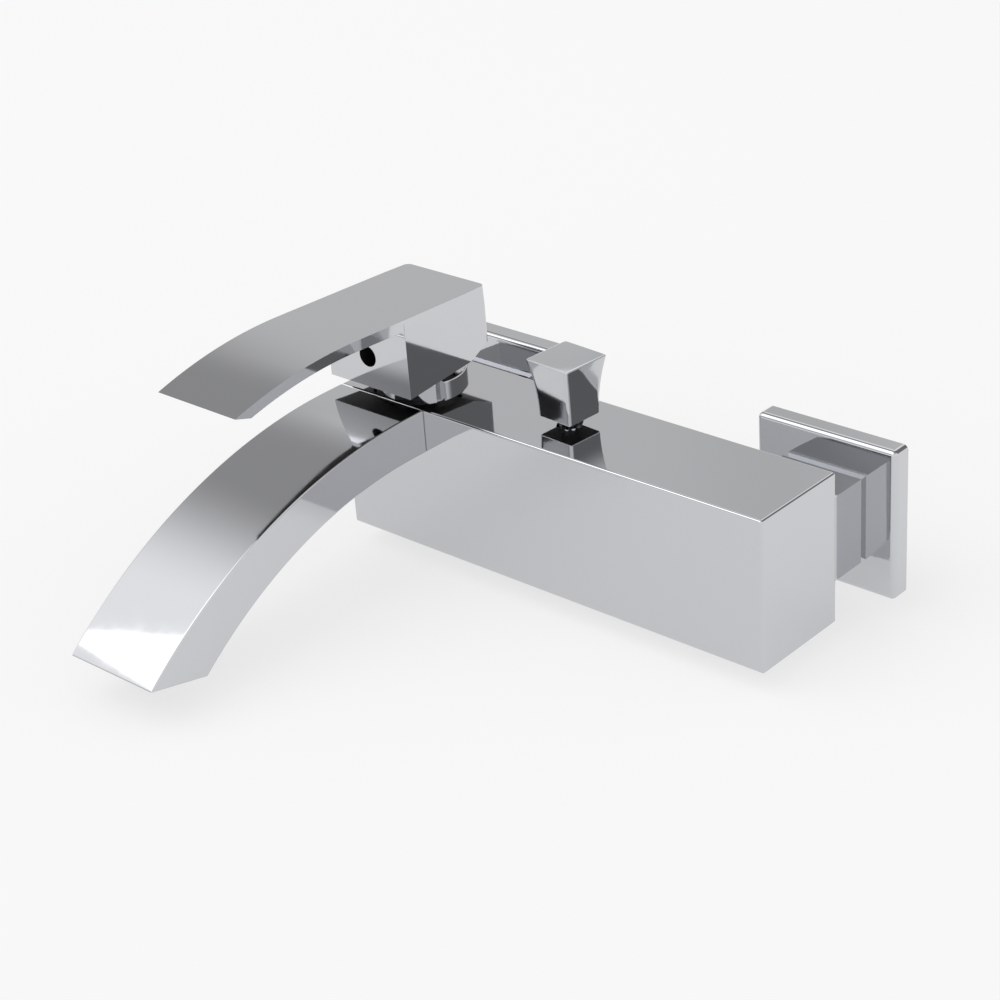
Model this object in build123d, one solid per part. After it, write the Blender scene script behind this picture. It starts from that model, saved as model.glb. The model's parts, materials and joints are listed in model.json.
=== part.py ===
"""Exposed bath and shower mixer with a bar body, a cascade spout, a single lever and a pull-up diverter.

Frame: millimetres, +X to the right, +Y into the wall, +Z up. The origin lies on the wall's face,
midway between the two inlets and at the body's mid height.
"""
from math import asin, atan2, cos, degrees, hypot, radians, sin, tan
import os

from build123d import *

# Body bar
BODY_WIDTH = 190.0
BODY_DEPTH = 42.0
BODY_HEIGHT = 57.5
BODY_EDGE_ROUND = 0.9

# Wall connection
INLET_SPACING = 150.0
FLANGE_SIDE = 57.5
FLANGE_DEPTH = 8.0
FLANGE_WALL = 1.8
FLANGE_EDGE_ROUND = 2.2
FLANGE_CORNER_ROUND = 1.2
NUT_SPACE = 22.0
NUT_ACROSS = 32.5
NUT_END_GAP = 0.25
NUT_CHAMFER = 1.2
NUT_THREAD_RADIUS = 13.22
TAIL_THREAD_RADIUS = 7.5
TAIL_THREAD_LENGTH = 8.0
TAIL_NECK_RADIUS = 9.8
TAIL_COLLAR_RADIUS = 12.6
TAIL_COLLAR_LENGTH = 2.8
TAIL_BORE_RADIUS = 5.5
WASHER_THICKNESS = 2.0
WASHER_HOLE_RADIUS = 7.6
UNION_THREAD_RADIUS = 10.48
UNION_THREAD_LENGTH = 15.0
UNION_BORE_RADIUS = 7.2
UNION_HEX_DEPTH = 9.0
UNION_HEX_ACROSS = 12.0
THREAD_CHAMFER = 0.8

# Spout
SPOUT_WIDTH = 41.5
SPOUT_ROOT_HEIGHT = 16.7
SPOUT_STRAIGHT = 8.0
SPOUT_TOP_RADIUS = 196.5
SPOUT_LOW_RADIUS = 164.7
SPOUT_REACH = 137.4
SPOUT_LOW_REACH = 113.0
SPOUT_WALL = 2.4
SPOUT_ROOT_SOLID = 12.0
SPOUT_EDGE_ROUND = 0.6
SPOUT_PORT_RADIUS = 2.2
SPOUT_PORT_INSET = 5.0
FORMER_RECESS = 2.5
FORMER_DEPTH = 6.0
FORMER_RIB = 1.2
FORMER_FRAME = 1.6
FORMER_CELLS = 9
SPOUT_SCREW_RADIUS = 2.0
SPOUT_SCREW_HEAD_RADIUS = 3.4
SPOUT_SCREW_HEAD = 2.0
SPOUT_SCREW_OFFSET = 7.0
SPOUT_SEAL_SECTION = 0.9
SPOUT_SCREW_HOLD = 8.0
SPOUT_SCREW_RISE = 4.6
SCREW_KEY_ACROSS = 2.5
SCREW_KEY_DEPTH = 1.3

# Cartridge and its seat, heights measured down from the body's top unless said otherwise
CARTRIDGE_INSET = 20.0
CARTRIDGE_RADIUS = 17.0
CHAMBER_DEPTH = 18.75
BASE_THICKNESS = 3.5
BASE_PEG_RADIUS = 1.5
BASE_PEG_LENGTH = 2.0
BASE_PEG_CIRCLE = 13.6
BASE_PORT_RADIUS = 2.6
SIDE_PORT_SPREAD = 8.5
SIDE_PORT_BACK = 5.5
MIXED_PORT_FRONT = 7.0
PORT_SEAL_RADIUS = 4.2
PORT_SEAL_THICKNESS = 1.6
DISC_THICKNESS = 2.5
MOVING_DISC_RADIUS = 11.0
MIXING_POCKET_DEPTH = 1.2
MIXING_POCKET_RADIUS = 5.6
CARRIER_HEIGHT = 4.0
CARRIER_WIDTH = 16.0
CARRIER_LENGTH = 14.5
CARRIER_FLOOR = 0.8
CARRIER_WALL = 2.0
CARRIER_CORNER_ROUND = 1.5
HOUSING_WALL = 2.0
HOUSING_SHOULDER = 9.0
HOUSING_ROOF = 1.4
NECK_OUTER_RADIUS = 13.4
NECK_WALL = 1.4
ROTOR_RISE = 0.4
RING_RADIUS = 18.0
RING_RISE = 4.0
RING_EDGE_ROUND = 0.6
RING_NOTCHES = 4
RING_NOTCH_WIDTH = 3.2
RING_NOTCH_DEPTH = 1.8
RING_NOTCH_TURN = -22.0

# Lever: the stem turns on a cross pin that lies a little under the body's top
PIVOT_DROP = 2.0
PIVOT_PIN_RADIUS = 1.5
PIVOT_PIN_LENGTH = 21.0
STEM_SIDE = 8.0
STEM_TOP = 25.8
STEM_FOOT_RADIUS = 1.9
STEM_FOOT_ARM = 5.6
STEM_SHANK = 2.6
LEVER_TILT = 22.0

# Handle, measured from the cartridge's axis and from the body's top
HANDLE_WIDTH = 40.0
HANDLE_TIP_WIDTH = 38.6
HANDLE_FRONT = 25.2
HANDLE_BACK = 18.2
HANDLE_FRONT_GAP = 5.3
HANDLE_BACK_GAP = 8.0
HANDLE_HEEL = 7.3
HANDLE_HEEL_RISE = 13.1
HANDLE_BACK_TOP = 34.3
BLADE_RISE_ANGLE = 2.2
BLADE_STRAIGHT_END = 49.0
BLADE_RADIUS = 180.0
BLADE_REACH = 105.2
BLADE_THICKNESS = 4.0
BLADE_TIP_BACK = 6.2
BLADE_ROOT_ROUND = 3.0
HANDLE_EDGE_ROUND = 0.9
HANDLE_CORNER_ROUND = 2.4
HANDLE_CAVITY_RADIUS = 15.4
HANDLE_CAVITY_TOP = 12.6
HANDLE_SCREW_RISE = 17.45
HANDLE_HOLE_RADIUS = 4.05
HANDLE_SCREW_RADIUS = 2.5
HANDLE_SCREW_LENGTH = 8.0
HANDLE_THREAD_DEPTH = 9.2

# Diverter
DIVERTER_X = -2.5
DIVERTER_TRAVEL = 8.0
DIVERTER_BORE_RADIUS = 8.0
GLAND_KEY_ACROSS = 9.0
GLAND_KEY_DEPTH = 2.6
GLAND_CEILING = 9.5
CAGE_BORE_RADIUS = 5.4
CAGE_WINDOWS = 4
CAGE_WINDOW_WIDTH = 5.0
CAGE_WINDOW_HEIGHT = 4.6
CAGE_FOOT = 1.8
ROD_RADIUS = 3.0
ROD_FOOT_RADIUS = 2.0
ROD_IN_KNOB = 13.0
ROD_SEAL_SECTION = 0.9
CLIP_RADIUS = 3.2
CLIP_THICKNESS = 1.0
POPPET_RADIUS = 6.8
POPPET_THICKNESS = 4.0
POPPET_WASHER_THICKNESS = 2.0
POPPET_WASHER_HOLE_RADIUS = 5.0
SEAT_DEPTH = 37.75
SEAT_THICKNESS = 4.0
SEAT_HOLE_RADIUS = 4.4
SEAT_GAP = 0.2
SPRING_WIRE_RADIUS = 0.4
SPRING_RADIUS = 4.1
SPRING_TURNS = 6
KNOB_GAP = 3.5
KNOB_HEIGHT = 22.6
KNOB_FOOT = 15.0
KNOB_HEAD = 20.0
KNOB_SIDE_RADIUS = 110.0
KNOB_CROWN = 0.35
KNOB_EDGE_ROUND = 0.35
KNOB_TURN = -3.9

# Shower outlet under the body
OUTLET_INSET = 12.0
OUTLET_THREAD_RADIUS = 10.48
OUTLET_DROP = 8.5
OUTLET_SOCKET_RADIUS = 9.0
OUTLET_SOCKET_DEPTH = 9.0
OUTLET_BORE_RADIUS = 6.2
OUTLET_SEAL_SECTION = 0.9

# Waterways drilled in the body
WAY_RADIUS = 3.2
COLD_WAY_DROP = 9.5
COLD_WAY_INSET = 7.2
MIXED_WAY_DROP = 6.0
MIXED_WAY_SHIFT = 5.5
RETURN_WAY_INSET = 5.2
RETURN_WAY_RADIUS = 3.0
CROSS_WAY_RADIUS = 2.2

# Fits and clearances
RUNNING_FIT = 0.05
SLIDE_GAP = 0.3
SEAT_FIT = 0.1
OVERRUN = 2.0

# Places worked out from the sizes above
BODY_BACK = -(FLANGE_DEPTH + NUT_SPACE)
COLLAR_BACK = -FLANGE_DEPTH - NUT_END_GAP - NUT_SPACE / 2
COLLAR_FRONT = COLLAR_BACK - TAIL_COLLAR_LENGTH
BODY_FRONT = BODY_BACK - BODY_DEPTH
BODY_MIDDLE = (BODY_FRONT + BODY_BACK) / 2
BODY_TOP = BODY_HEIGHT / 2
BODY_LEFT = -BODY_WIDTH / 2
INLETS = {"left": -INLET_SPACING / 2, "right": INLET_SPACING / 2}
AXIS_X = BODY_LEFT + CARTRIDGE_INSET
AXIS_Y = BODY_MIDDLE
CHAMBER_FLOOR = BODY_TOP - CHAMBER_DEPTH
CHAMBER_RADIUS = CARTRIDGE_RADIUS + SEAT_FIT
BASE_TOP = CHAMBER_FLOOR + BASE_THICKNESS
FIXED_DISC_TOP = BASE_TOP + DISC_THICKNESS
MOVING_DISC_TOP = FIXED_DISC_TOP + DISC_THICKNESS
CARRIER_TOP = MOVING_DISC_TOP + CARRIER_HEIGHT
SHOULDER = BASE_TOP + HOUSING_SHOULDER
RING_TOP = BODY_TOP + RING_RISE
ROTOR_TOP = RING_TOP + ROTOR_RISE
ROTOR_FLANGE_TOP = SHOULDER - HOUSING_ROOF - SLIDE_GAP
ROTOR_FLANGE_BOTTOM = MOVING_DISC_TOP + SLIDE_GAP
NECK_INNER_RADIUS = NECK_OUTER_RADIUS - NECK_WALL
HOUSING_INNER_RADIUS = CARTRIDGE_RADIUS - HOUSING_WALL
PIVOT_Z = BODY_TOP - PIVOT_DROP
PORTS = {
    "hot": (AXIS_X - SIDE_PORT_SPREAD, AXIS_Y + SIDE_PORT_BACK),
    "cold": (AXIS_X + SIDE_PORT_SPREAD, AXIS_Y + SIDE_PORT_BACK),
    "mixed": (AXIS_X, AXIS_Y - MIXED_PORT_FRONT),
}
SPOUT_X = BODY_LEFT + SPOUT_WIDTH / 2
SPOUT_LOW = BODY_TOP - SPOUT_ROOT_HEIGHT
SPOUT_TOP_TURN = asin((SPOUT_REACH - SPOUT_STRAIGHT) / SPOUT_TOP_RADIUS)
SPOUT_LOW_TURN = asin((SPOUT_LOW_REACH - SPOUT_STRAIGHT) / SPOUT_LOW_RADIUS)
SPOUT_PORT_X = BODY_LEFT + SPOUT_WIDTH - SPOUT_PORT_INSET
SPOUT_PORT_Z = BODY_TOP - SPOUT_ROOT_HEIGHT / 2
SPOUT_SCREW_Z = SPOUT_LOW + SPOUT_SCREW_RISE
SCREW_PLACES = (AXIS_X - SPOUT_SCREW_OFFSET, AXIS_X + SPOUT_SCREW_OFFSET)
SCREW_HEAD_NEAR = SPOUT_SCREW_OFFSET - SPOUT_SCREW_HEAD_RADIUS
SCREW_HEAD_BACK = AXIS_Y - CHAMBER_RADIUS * cos(asin(SCREW_HEAD_NEAR / CHAMBER_RADIUS))
SCREW_HEAD_FRONT = SCREW_HEAD_BACK - SPOUT_SCREW_HEAD
SEAT_TOP = BODY_TOP - SEAT_DEPTH
POPPET_BOTTOM = SEAT_TOP + SEAT_GAP + POPPET_WASHER_THICKNESS
POPPET_TOP = POPPET_BOTTOM + POPPET_THICKNESS
PLUNGER_TOP = POPPET_TOP + POPPET_WASHER_THICKNESS
CAGE_BOTTOM = PLUNGER_TOP + DIVERTER_TRAVEL + SEAT_GAP
CAGE_CEILING = BODY_TOP - GLAND_CEILING
KNOB_BOTTOM = BODY_TOP + KNOB_GAP
OUTLET_Y = BODY_BACK - OUTLET_INSET
OUTLET_SOCKET_TOP = -BODY_TOP + OUTLET_SOCKET_DEPTH
COLD_WAY_Y = BODY_BACK - COLD_WAY_INSET
MIXED_WAY_Y = AXIS_Y - MIXED_WAY_SHIFT
RETURN_WAY_Y = BODY_FRONT + RETURN_WAY_INSET
RETURN_WAY_Z = CAGE_BOTTOM + CAGE_FOOT + CAGE_WINDOW_HEIGHT / 2


def upright(radius, bottom, top, x=0, y=0):
    """A round bar along Z."""
    return Pos(x, y, (bottom + top) / 2) * Cylinder(radius, top - bottom)


def lengthwise(radius, left, right, y, z):
    """A round bar along X."""
    return Pos((left + right) / 2, y, z) * Rot(0, 90, 0) * Cylinder(radius, right - left)


def inward(radius, front, back, x, z):
    """A round bar along Y."""
    return Pos(x, (front + back) / 2, z) * Rot(90, 0, 0) * Cylinder(radius, back - front)


def bar(left, right, front, back, bottom, top):
    """A square bar between six planes."""
    centre = Pos((left + right) / 2, (front + back) / 2, (bottom + top) / 2)
    return centre * Box(right - left, back - front, top - bottom)


def upright_ring(outer, inner, bottom, top, x=0, y=0):
    """A flat ring about Z."""
    return upright(outer, bottom, top, x, y) - upright(inner, bottom, top, x, y)


def turned_along_y(points, x, z):
    """A solid turned about the line along Y through x and z from points of radius and Y."""
    profile = make_face(Polyline(*[(radius, y) for radius, y in points], close=True))
    return Pos(x, 0, z) * revolve(profile, Axis.Y)


def turned_upright(points, x, y):
    """A solid turned about the line along Z through x and y from points of radius and Z."""
    profile = make_face(Plane.XZ * Polyline(*points, close=True))
    return Pos(x, y, 0) * revolve(profile, Axis.Z)


def side_extrusion(lines, width, x):
    """A solid with an outline drawn in Y and Z, as wide as given and centred on x."""
    face = Plane.YZ * make_face(Curve() + lines)
    return Pos(x, 0, 0) * extrude(face, amount=width / 2, both=True)


def body_shell():
    """The bar itself, with its outer edges rounded."""
    bar_solid = bar(BODY_LEFT, -BODY_LEFT, BODY_FRONT, BODY_BACK, -BODY_TOP, BODY_TOP)
    return fillet(bar_solid.edges(), BODY_EDGE_ROUND)


def chambers():
    """What the cartridge, the diverter, the inlet tails and the outlet are fitted into."""
    cuts = [upright(CHAMBER_RADIUS, CHAMBER_FLOOR, SHOULDER, AXIS_X, AXIS_Y)]
    cuts.append(upright(RING_RADIUS, SHOULDER, BODY_TOP + OVERRUN, AXIS_X, AXIS_Y))
    peg_bottom = CHAMBER_FLOOR - BASE_PEG_LENGTH - SEAT_FIT
    for side in (-1, 1):
        peg_x = AXIS_X + side * BASE_PEG_CIRCLE
        cuts.append(upright(BASE_PEG_RADIUS + SEAT_FIT, peg_bottom, BASE_TOP, peg_x, AXIS_Y))
    seat_bottom = SEAT_TOP - SEAT_THICKNESS
    cuts.append(upright(DIVERTER_BORE_RADIUS, seat_bottom, BODY_TOP + OVERRUN, DIVERTER_X, AXIS_Y))
    cuts.append(upright(OUTLET_SOCKET_RADIUS, -BODY_TOP - OVERRUN, OUTLET_SOCKET_TOP, DIVERTER_X, OUTLET_Y))
    for x in INLETS.values():
        cuts.append(inward(TAIL_THREAD_RADIUS, BODY_BACK - TAIL_THREAD_LENGTH, BODY_BACK + OVERRUN, x, 0))
    head_hole = SPOUT_SCREW_HEAD_RADIUS + SEAT_FIT
    shank_hole = SPOUT_SCREW_RADIUS + SEAT_FIT
    for x in SCREW_PLACES:
        cuts.append(inward(head_hole, SCREW_HEAD_FRONT, AXIS_Y, x, SPOUT_SCREW_Z))
        cuts.append(inward(shank_hole, BODY_FRONT - OVERRUN, SCREW_HEAD_FRONT, x, SPOUT_SCREW_Z))
    return cuts


def waterways():
    """The drillings: hot and cold to the cartridge, mixed to the diverter, and on to spout or hose."""
    hot_x, hot_y = PORTS["hot"]
    cold_x, cold_y = PORTS["cold"]
    mixed_x, mixed_y = PORTS["mixed"]
    tail_end = BODY_BACK - TAIL_THREAD_LENGTH
    hot_step_x = (hot_x + INLETS["left"]) / 2
    drill = BASE_PORT_RADIUS
    seat_bottom = SEAT_TOP - SEAT_THICKNESS
    ways = [upright(drill, -WAY_RADIUS, CHAMBER_FLOOR, hot_x, hot_y)]
    ways.append(inward(WAY_RADIUS, hot_y - drill, tail_end, hot_step_x, 0))
    ways.append(upright(drill, -COLD_WAY_DROP, CHAMBER_FLOOR, cold_x, cold_y))
    ways.append(inward(CROSS_WAY_RADIUS, cold_y - drill, COLD_WAY_Y, cold_x, -COLD_WAY_DROP))
    ways.append(lengthwise(WAY_RADIUS, cold_x - drill, INLETS["right"] + drill, COLD_WAY_Y, -COLD_WAY_DROP))
    ways.append(upright(drill, -COLD_WAY_DROP, 0, INLETS["right"], COLD_WAY_Y))
    ways.append(upright(drill, -MIXED_WAY_DROP, CHAMBER_FLOOR, mixed_x, mixed_y))
    ways.append(lengthwise(WAY_RADIUS, mixed_x - drill, DIVERTER_X, MIXED_WAY_Y, -MIXED_WAY_DROP))
    ways.append(inward(CROSS_WAY_RADIUS, RETURN_WAY_Y, AXIS_Y, DIVERTER_X, RETURN_WAY_Z))
    return_start = SPOUT_PORT_X - drill
    return_end = DIVERTER_X + drill
    ways.append(lengthwise(RETURN_WAY_RADIUS, return_start, return_end, RETURN_WAY_Y, RETURN_WAY_Z))
    ways.append(upright(drill, RETURN_WAY_Z, SPOUT_PORT_Z + drill, SPOUT_PORT_X, RETURN_WAY_Y))
    ways.append(inward(SPOUT_PORT_RADIUS, BODY_FRONT - OVERRUN, RETURN_WAY_Y, SPOUT_PORT_X, SPOUT_PORT_Z))
    ways.append(upright(SEAT_HOLE_RADIUS, OUTLET_SOCKET_TOP, SEAT_TOP, DIVERTER_X, AXIS_Y))
    ways.append(upright(OUTLET_BORE_RADIUS, OUTLET_SOCKET_TOP, seat_bottom - OVERRUN, DIVERTER_X, OUTLET_Y))
    return ways


def body_block():
    """The bar with its chambers and waterways."""
    block = body_shell()
    for cut in chambers() + waterways():
        block -= cut
    return block


def spout_lines(shrink, extra):
    """The spout's side outline, drawn in from the skin by shrink and run past its end by extra."""
    top = BODY_TOP - shrink
    low = SPOUT_LOW + shrink
    root = BODY_FRONT
    bend = BODY_FRONT - SPOUT_STRAIGHT
    top_radius = SPOUT_TOP_RADIUS - shrink
    low_radius = SPOUT_LOW_RADIUS + shrink
    top_turn = degrees(SPOUT_TOP_TURN + extra / top_radius)
    low_turn = degrees(SPOUT_LOW_TURN + extra / low_radius)
    top_arc = JernArc((bend, top), (-1, 0), top_radius, top_turn)
    low_arc = JernArc((bend, low), (-1, 0), low_radius, low_turn)
    return [
        Line((root, low), (root, top)),
        Line((root, top), (bend, top)),
        top_arc,
        Line(top_arc @ 1, low_arc @ 1),
        low_arc,
        Line((bend, low), (root, low)),
    ]


def spout_end():
    """The two edges of the spout's cut end, top first, as points in Y and Z."""
    top = (BODY_FRONT - SPOUT_REACH, BODY_TOP - SPOUT_TOP_RADIUS * (1 - cos(SPOUT_TOP_TURN)))
    low = (BODY_FRONT - SPOUT_LOW_REACH, SPOUT_LOW - SPOUT_LOW_RADIUS * (1 - cos(SPOUT_LOW_TURN)))
    return top, low


def spout_hollow(shrink):
    """The waterway inside the spout, from its solid root to past its end."""
    hollow = side_extrusion(spout_lines(shrink, OVERRUN + shrink), SPOUT_WIDTH - 2 * shrink, SPOUT_X)
    root_end = BODY_FRONT - SPOUT_ROOT_SOLID
    return hollow - bar(BODY_LEFT, SPOUT_X + SPOUT_WIDTH, root_end, BODY_FRONT, SPOUT_LOW, BODY_TOP)


def spout():
    """The cast cascade spout: flush with the body's top and left end, thicker towards its cut tip."""
    skin = side_extrusion(spout_lines(0, 0), SPOUT_WIDTH, SPOUT_X)
    long_edges = [edge for edge in skin.edges() if abs(edge.center().X - SPOUT_X) > SPOUT_WIDTH / 4]
    rounded = [edge for edge in long_edges if edge.bounding_box().min.Y < BODY_FRONT - SPOUT_STRAIGHT / 2]
    casting = fillet(rounded, SPOUT_EDGE_ROUND) - spout_hollow(SPOUT_WALL)
    port_end = BODY_FRONT - SPOUT_ROOT_SOLID - OVERRUN
    casting -= inward(SPOUT_PORT_RADIUS, port_end, BODY_FRONT, SPOUT_PORT_X, SPOUT_PORT_Z)
    groove = SPOUT_SEAL_SECTION * 2
    groove_radius = SPOUT_PORT_RADIUS + groove
    casting -= inward(groove_radius, BODY_FRONT - groove, BODY_FRONT, SPOUT_PORT_X, SPOUT_PORT_Z)
    for x in SCREW_PLACES:
        casting -= inward(SPOUT_SCREW_RADIUS, BODY_FRONT - SPOUT_SCREW_HOLD, BODY_FRONT, x, SPOUT_SCREW_Z)
    return casting


def spout_seal():
    """The O-ring round the port between body and spout, in its counterbore."""
    ring = Torus(SPOUT_PORT_RADIUS + SPOUT_SEAL_SECTION, SPOUT_SEAL_SECTION)
    return Pos(SPOUT_PORT_X, BODY_FRONT - SPOUT_SEAL_SECTION, SPOUT_PORT_Z) * Rot(90, 0, 0) * ring


def spout_screws():
    """Two socket screws, from inside the cartridge's chamber through the body's front wall."""
    screws = Part()
    for x in SCREW_PLACES:
        head = inward(SPOUT_SCREW_HEAD_RADIUS, SCREW_HEAD_FRONT, SCREW_HEAD_BACK, x, SPOUT_SCREW_Z)
        shank = inward(SPOUT_SCREW_RADIUS, BODY_FRONT - SPOUT_SCREW_HOLD, SCREW_HEAD_FRONT, x, SPOUT_SCREW_Z)
        key = extrude(RegularPolygon(SCREW_KEY_ACROSS / 2, 6, major_radius=False), amount=SCREW_KEY_DEPTH)
        key = Pos(x, SCREW_HEAD_BACK, SPOUT_SCREW_Z) * Rot(90, 0, 0) * key
        screws += head + shank - key
    return screws


def flow_former():
    """The grid that straightens the sheet of water, just inside the spout's cut end."""
    (top_y, top_z), (low_y, low_z) = spout_end()
    face_length = hypot(low_y - top_y, low_z - top_z)
    tilt = degrees(atan2(low_z - top_z, low_y - top_y))
    depth_middle = FORMER_RECESS + FORMER_DEPTH / 2
    end_middle = Pos(SPOUT_X, (top_y + low_y) / 2, (top_z + low_z) / 2)
    middle = end_middle * Rot(tilt, 0, 0) * Pos(0, 0, depth_middle)
    slab = middle * Box(SPOUT_WIDTH, face_length * 2, FORMER_DEPTH)
    frame_shrink = SPOUT_WALL + RUNNING_FIT + FORMER_FRAME
    opening = slab & spout_hollow(frame_shrink)
    inner_width = SPOUT_WIDTH - 2 * frame_shrink
    cell_pitch = (inner_width + FORMER_RIB) / FORMER_CELLS
    for number in range(1, FORMER_CELLS):
        rib_x = number * cell_pitch - (inner_width + FORMER_RIB) / 2
        opening -= middle * Pos(rib_x, 0, 0) * Box(FORMER_RIB, face_length * 2, FORMER_DEPTH)
    return (slab & spout_hollow(SPOUT_WALL + RUNNING_FIT)) - opening


def inlet_tail(x):
    """The tail screwed into the body, with the collar that the union nut pulls on."""
    front = BODY_BACK - TAIL_THREAD_LENGTH
    points = [
        (TAIL_BORE_RADIUS, front),
        (TAIL_THREAD_RADIUS, front),
        (TAIL_THREAD_RADIUS, BODY_BACK),
        (TAIL_NECK_RADIUS, BODY_BACK),
        (TAIL_NECK_RADIUS, COLLAR_FRONT),
        (TAIL_COLLAR_RADIUS, COLLAR_FRONT),
        (TAIL_COLLAR_RADIUS, COLLAR_BACK),
        (TAIL_BORE_RADIUS, COLLAR_BACK),
    ]
    return turned_along_y(points, x, 0)


def filter_washer(x):
    """The washer squeezed between tail and wall union."""
    back = COLLAR_BACK + WASHER_THICKNESS
    ring = inward(TAIL_COLLAR_RADIUS, COLLAR_BACK, back, x, 0)
    return ring - inward(WASHER_HOLE_RADIUS, COLLAR_BACK, back, x, 0)


def union_nut(x):
    """The square nut that hides the joint, open towards the wall and lipped behind the tail's collar."""
    front = BODY_BACK + NUT_END_GAP
    back = -FLANGE_DEPTH - NUT_END_GAP
    half = NUT_ACROSS / 2
    block = bar(x - half, x + half, front, back, -half, half)
    ends = block.edges().filter_by(Axis.Y, reverse=True)
    block = chamfer(ends, NUT_CHAMFER)
    block -= inward(TAIL_NECK_RADIUS + SLIDE_GAP, front, back, x, 0)
    return block - inward(NUT_THREAD_RADIUS, COLLAR_FRONT, back, x, 0)


def wall_union(x):
    """The straight union: its wall end is threaded outside, its body end carries the nut."""
    front = COLLAR_BACK + WASHER_THICKNESS
    points = [
        (UNION_BORE_RADIUS, front),
        (NUT_THREAD_RADIUS - THREAD_CHAMFER, front),
        (NUT_THREAD_RADIUS, front + THREAD_CHAMFER),
        (NUT_THREAD_RADIUS, 0),
        (UNION_THREAD_RADIUS, 0),
        (UNION_THREAD_RADIUS, UNION_THREAD_LENGTH - THREAD_CHAMFER),
        (UNION_THREAD_RADIUS - THREAD_CHAMFER, UNION_THREAD_LENGTH),
        (UNION_BORE_RADIUS, UNION_THREAD_LENGTH),
    ]
    union = turned_along_y(points, x, 0)
    socket = extrude(RegularPolygon(UNION_HEX_ACROSS / 2, 6, major_radius=False), amount=UNION_HEX_DEPTH)
    return union - Pos(x, UNION_THREAD_LENGTH, 0) * Rot(90, 0, 0) * socket


def wall_flange(x):
    """The square rosette: a pressed shell, open at the back, with a round hole for the union."""
    half = FLANGE_SIDE / 2
    plate = bar(x - half, x + half, -FLANGE_DEPTH, 0, -half, half)
    plate = fillet(plate.edges().filter_by(Axis.Y), FLANGE_CORNER_ROUND)
    plate = fillet(plate.faces().sort_by(Axis.Y)[0].edges(), FLANGE_EDGE_ROUND)
    inner = half - FLANGE_WALL
    plate -= bar(x - inner, x + inner, -FLANGE_DEPTH + FLANGE_WALL, OVERRUN, -inner, inner)
    return plate - inward(NUT_THREAD_RADIUS + SLIDE_GAP, -FLANGE_DEPTH - OVERRUN, OVERRUN, x, 0)


def cartridge_base():
    """The cartridge's foot, with three ports, pockets for their seals and two locating pegs."""
    base = upright(CARTRIDGE_RADIUS, CHAMBER_FLOOR, BASE_TOP, AXIS_X, AXIS_Y)
    for side in (-1, 1):
        peg_x = AXIS_X + side * BASE_PEG_CIRCLE
        base += upright(BASE_PEG_RADIUS, CHAMBER_FLOOR - BASE_PEG_LENGTH, CHAMBER_FLOOR, peg_x, AXIS_Y)
    for x, y in PORTS.values():
        base -= upright(BASE_PORT_RADIUS, CHAMBER_FLOOR, BASE_TOP, x, y)
        base -= upright(PORT_SEAL_RADIUS, CHAMBER_FLOOR, CHAMBER_FLOOR + PORT_SEAL_THICKNESS, x, y)
    return base


def port_seals():
    """The three seals under the cartridge."""
    seals = Part()
    top = CHAMBER_FLOOR + PORT_SEAL_THICKNESS
    for x, y in PORTS.values():
        seals += upright_ring(PORT_SEAL_RADIUS, BASE_PORT_RADIUS, CHAMBER_FLOOR, top, x, y)
    return seals


def fixed_disc():
    """The ceramic disc that stays still, with a hole over each port."""
    disc = upright(HOUSING_INNER_RADIUS - SEAT_FIT, BASE_TOP, FIXED_DISC_TOP, AXIS_X, AXIS_Y)
    for x, y in PORTS.values():
        disc -= upright(BASE_PORT_RADIUS, BASE_TOP, FIXED_DISC_TOP, x, y)
    return disc


def moving_disc():
    """The ceramic disc that the lever slides and turns, with the mixing pocket in its underside."""
    disc = upright(MOVING_DISC_RADIUS, FIXED_DISC_TOP + RUNNING_FIT, MOVING_DISC_TOP, AXIS_X, AXIS_Y)
    pocket_top = FIXED_DISC_TOP + MIXING_POCKET_DEPTH
    return disc - upright(MIXING_POCKET_RADIUS, FIXED_DISC_TOP, pocket_top, AXIS_X, AXIS_Y)


def disc_carrier():
    """The plastic block on the moving disc, with the socket that the stem's foot pushes in."""
    half_width = CARRIER_WIDTH / 2
    half_length = CARRIER_LENGTH / 2
    block = bar(
        AXIS_X - half_width, AXIS_X + half_width,
        AXIS_Y - half_length, AXIS_Y + half_length,
        MOVING_DISC_TOP, CARRIER_TOP,
    )
    block = fillet(block.edges().filter_by(Axis.Z), CARRIER_CORNER_ROUND)
    socket_half = STEM_FOOT_RADIUS + SLIDE_GAP
    socket = bar(
        AXIS_X - half_width + CARRIER_WALL, AXIS_X + half_width - CARRIER_WALL,
        AXIS_Y - socket_half, AXIS_Y + socket_half,
        MOVING_DISC_TOP + CARRIER_FLOOR - SLIDE_GAP, CARRIER_TOP,
    )
    return block - socket


def rotor():
    """The driver: turns in the housing's neck, holds the cross pin and steers the disc carrier."""
    flange = upright(HOUSING_INNER_RADIUS - SLIDE_GAP, ROTOR_FLANGE_BOTTOM, ROTOR_FLANGE_TOP, AXIS_X, AXIS_Y)
    neck = upright(NECK_INNER_RADIUS - RUNNING_FIT, ROTOR_FLANGE_TOP, ROTOR_TOP, AXIS_X, AXIS_Y)
    disc_slide = STEM_FOOT_ARM * radians(LEVER_TILT)
    half_width = CARRIER_WIDTH / 2 + SLIDE_GAP
    half_length = CARRIER_LENGTH / 2 + SLIDE_GAP
    recess = bar(
        AXIS_X - half_width, AXIS_X + half_width,
        AXIS_Y - half_length - disc_slide, AXIS_Y + half_length,
        ROTOR_FLANGE_BOTTOM, CARRIER_TOP + SLIDE_GAP,
    )
    return flange + neck - recess - stem_slot() - pin_bar(0)


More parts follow.
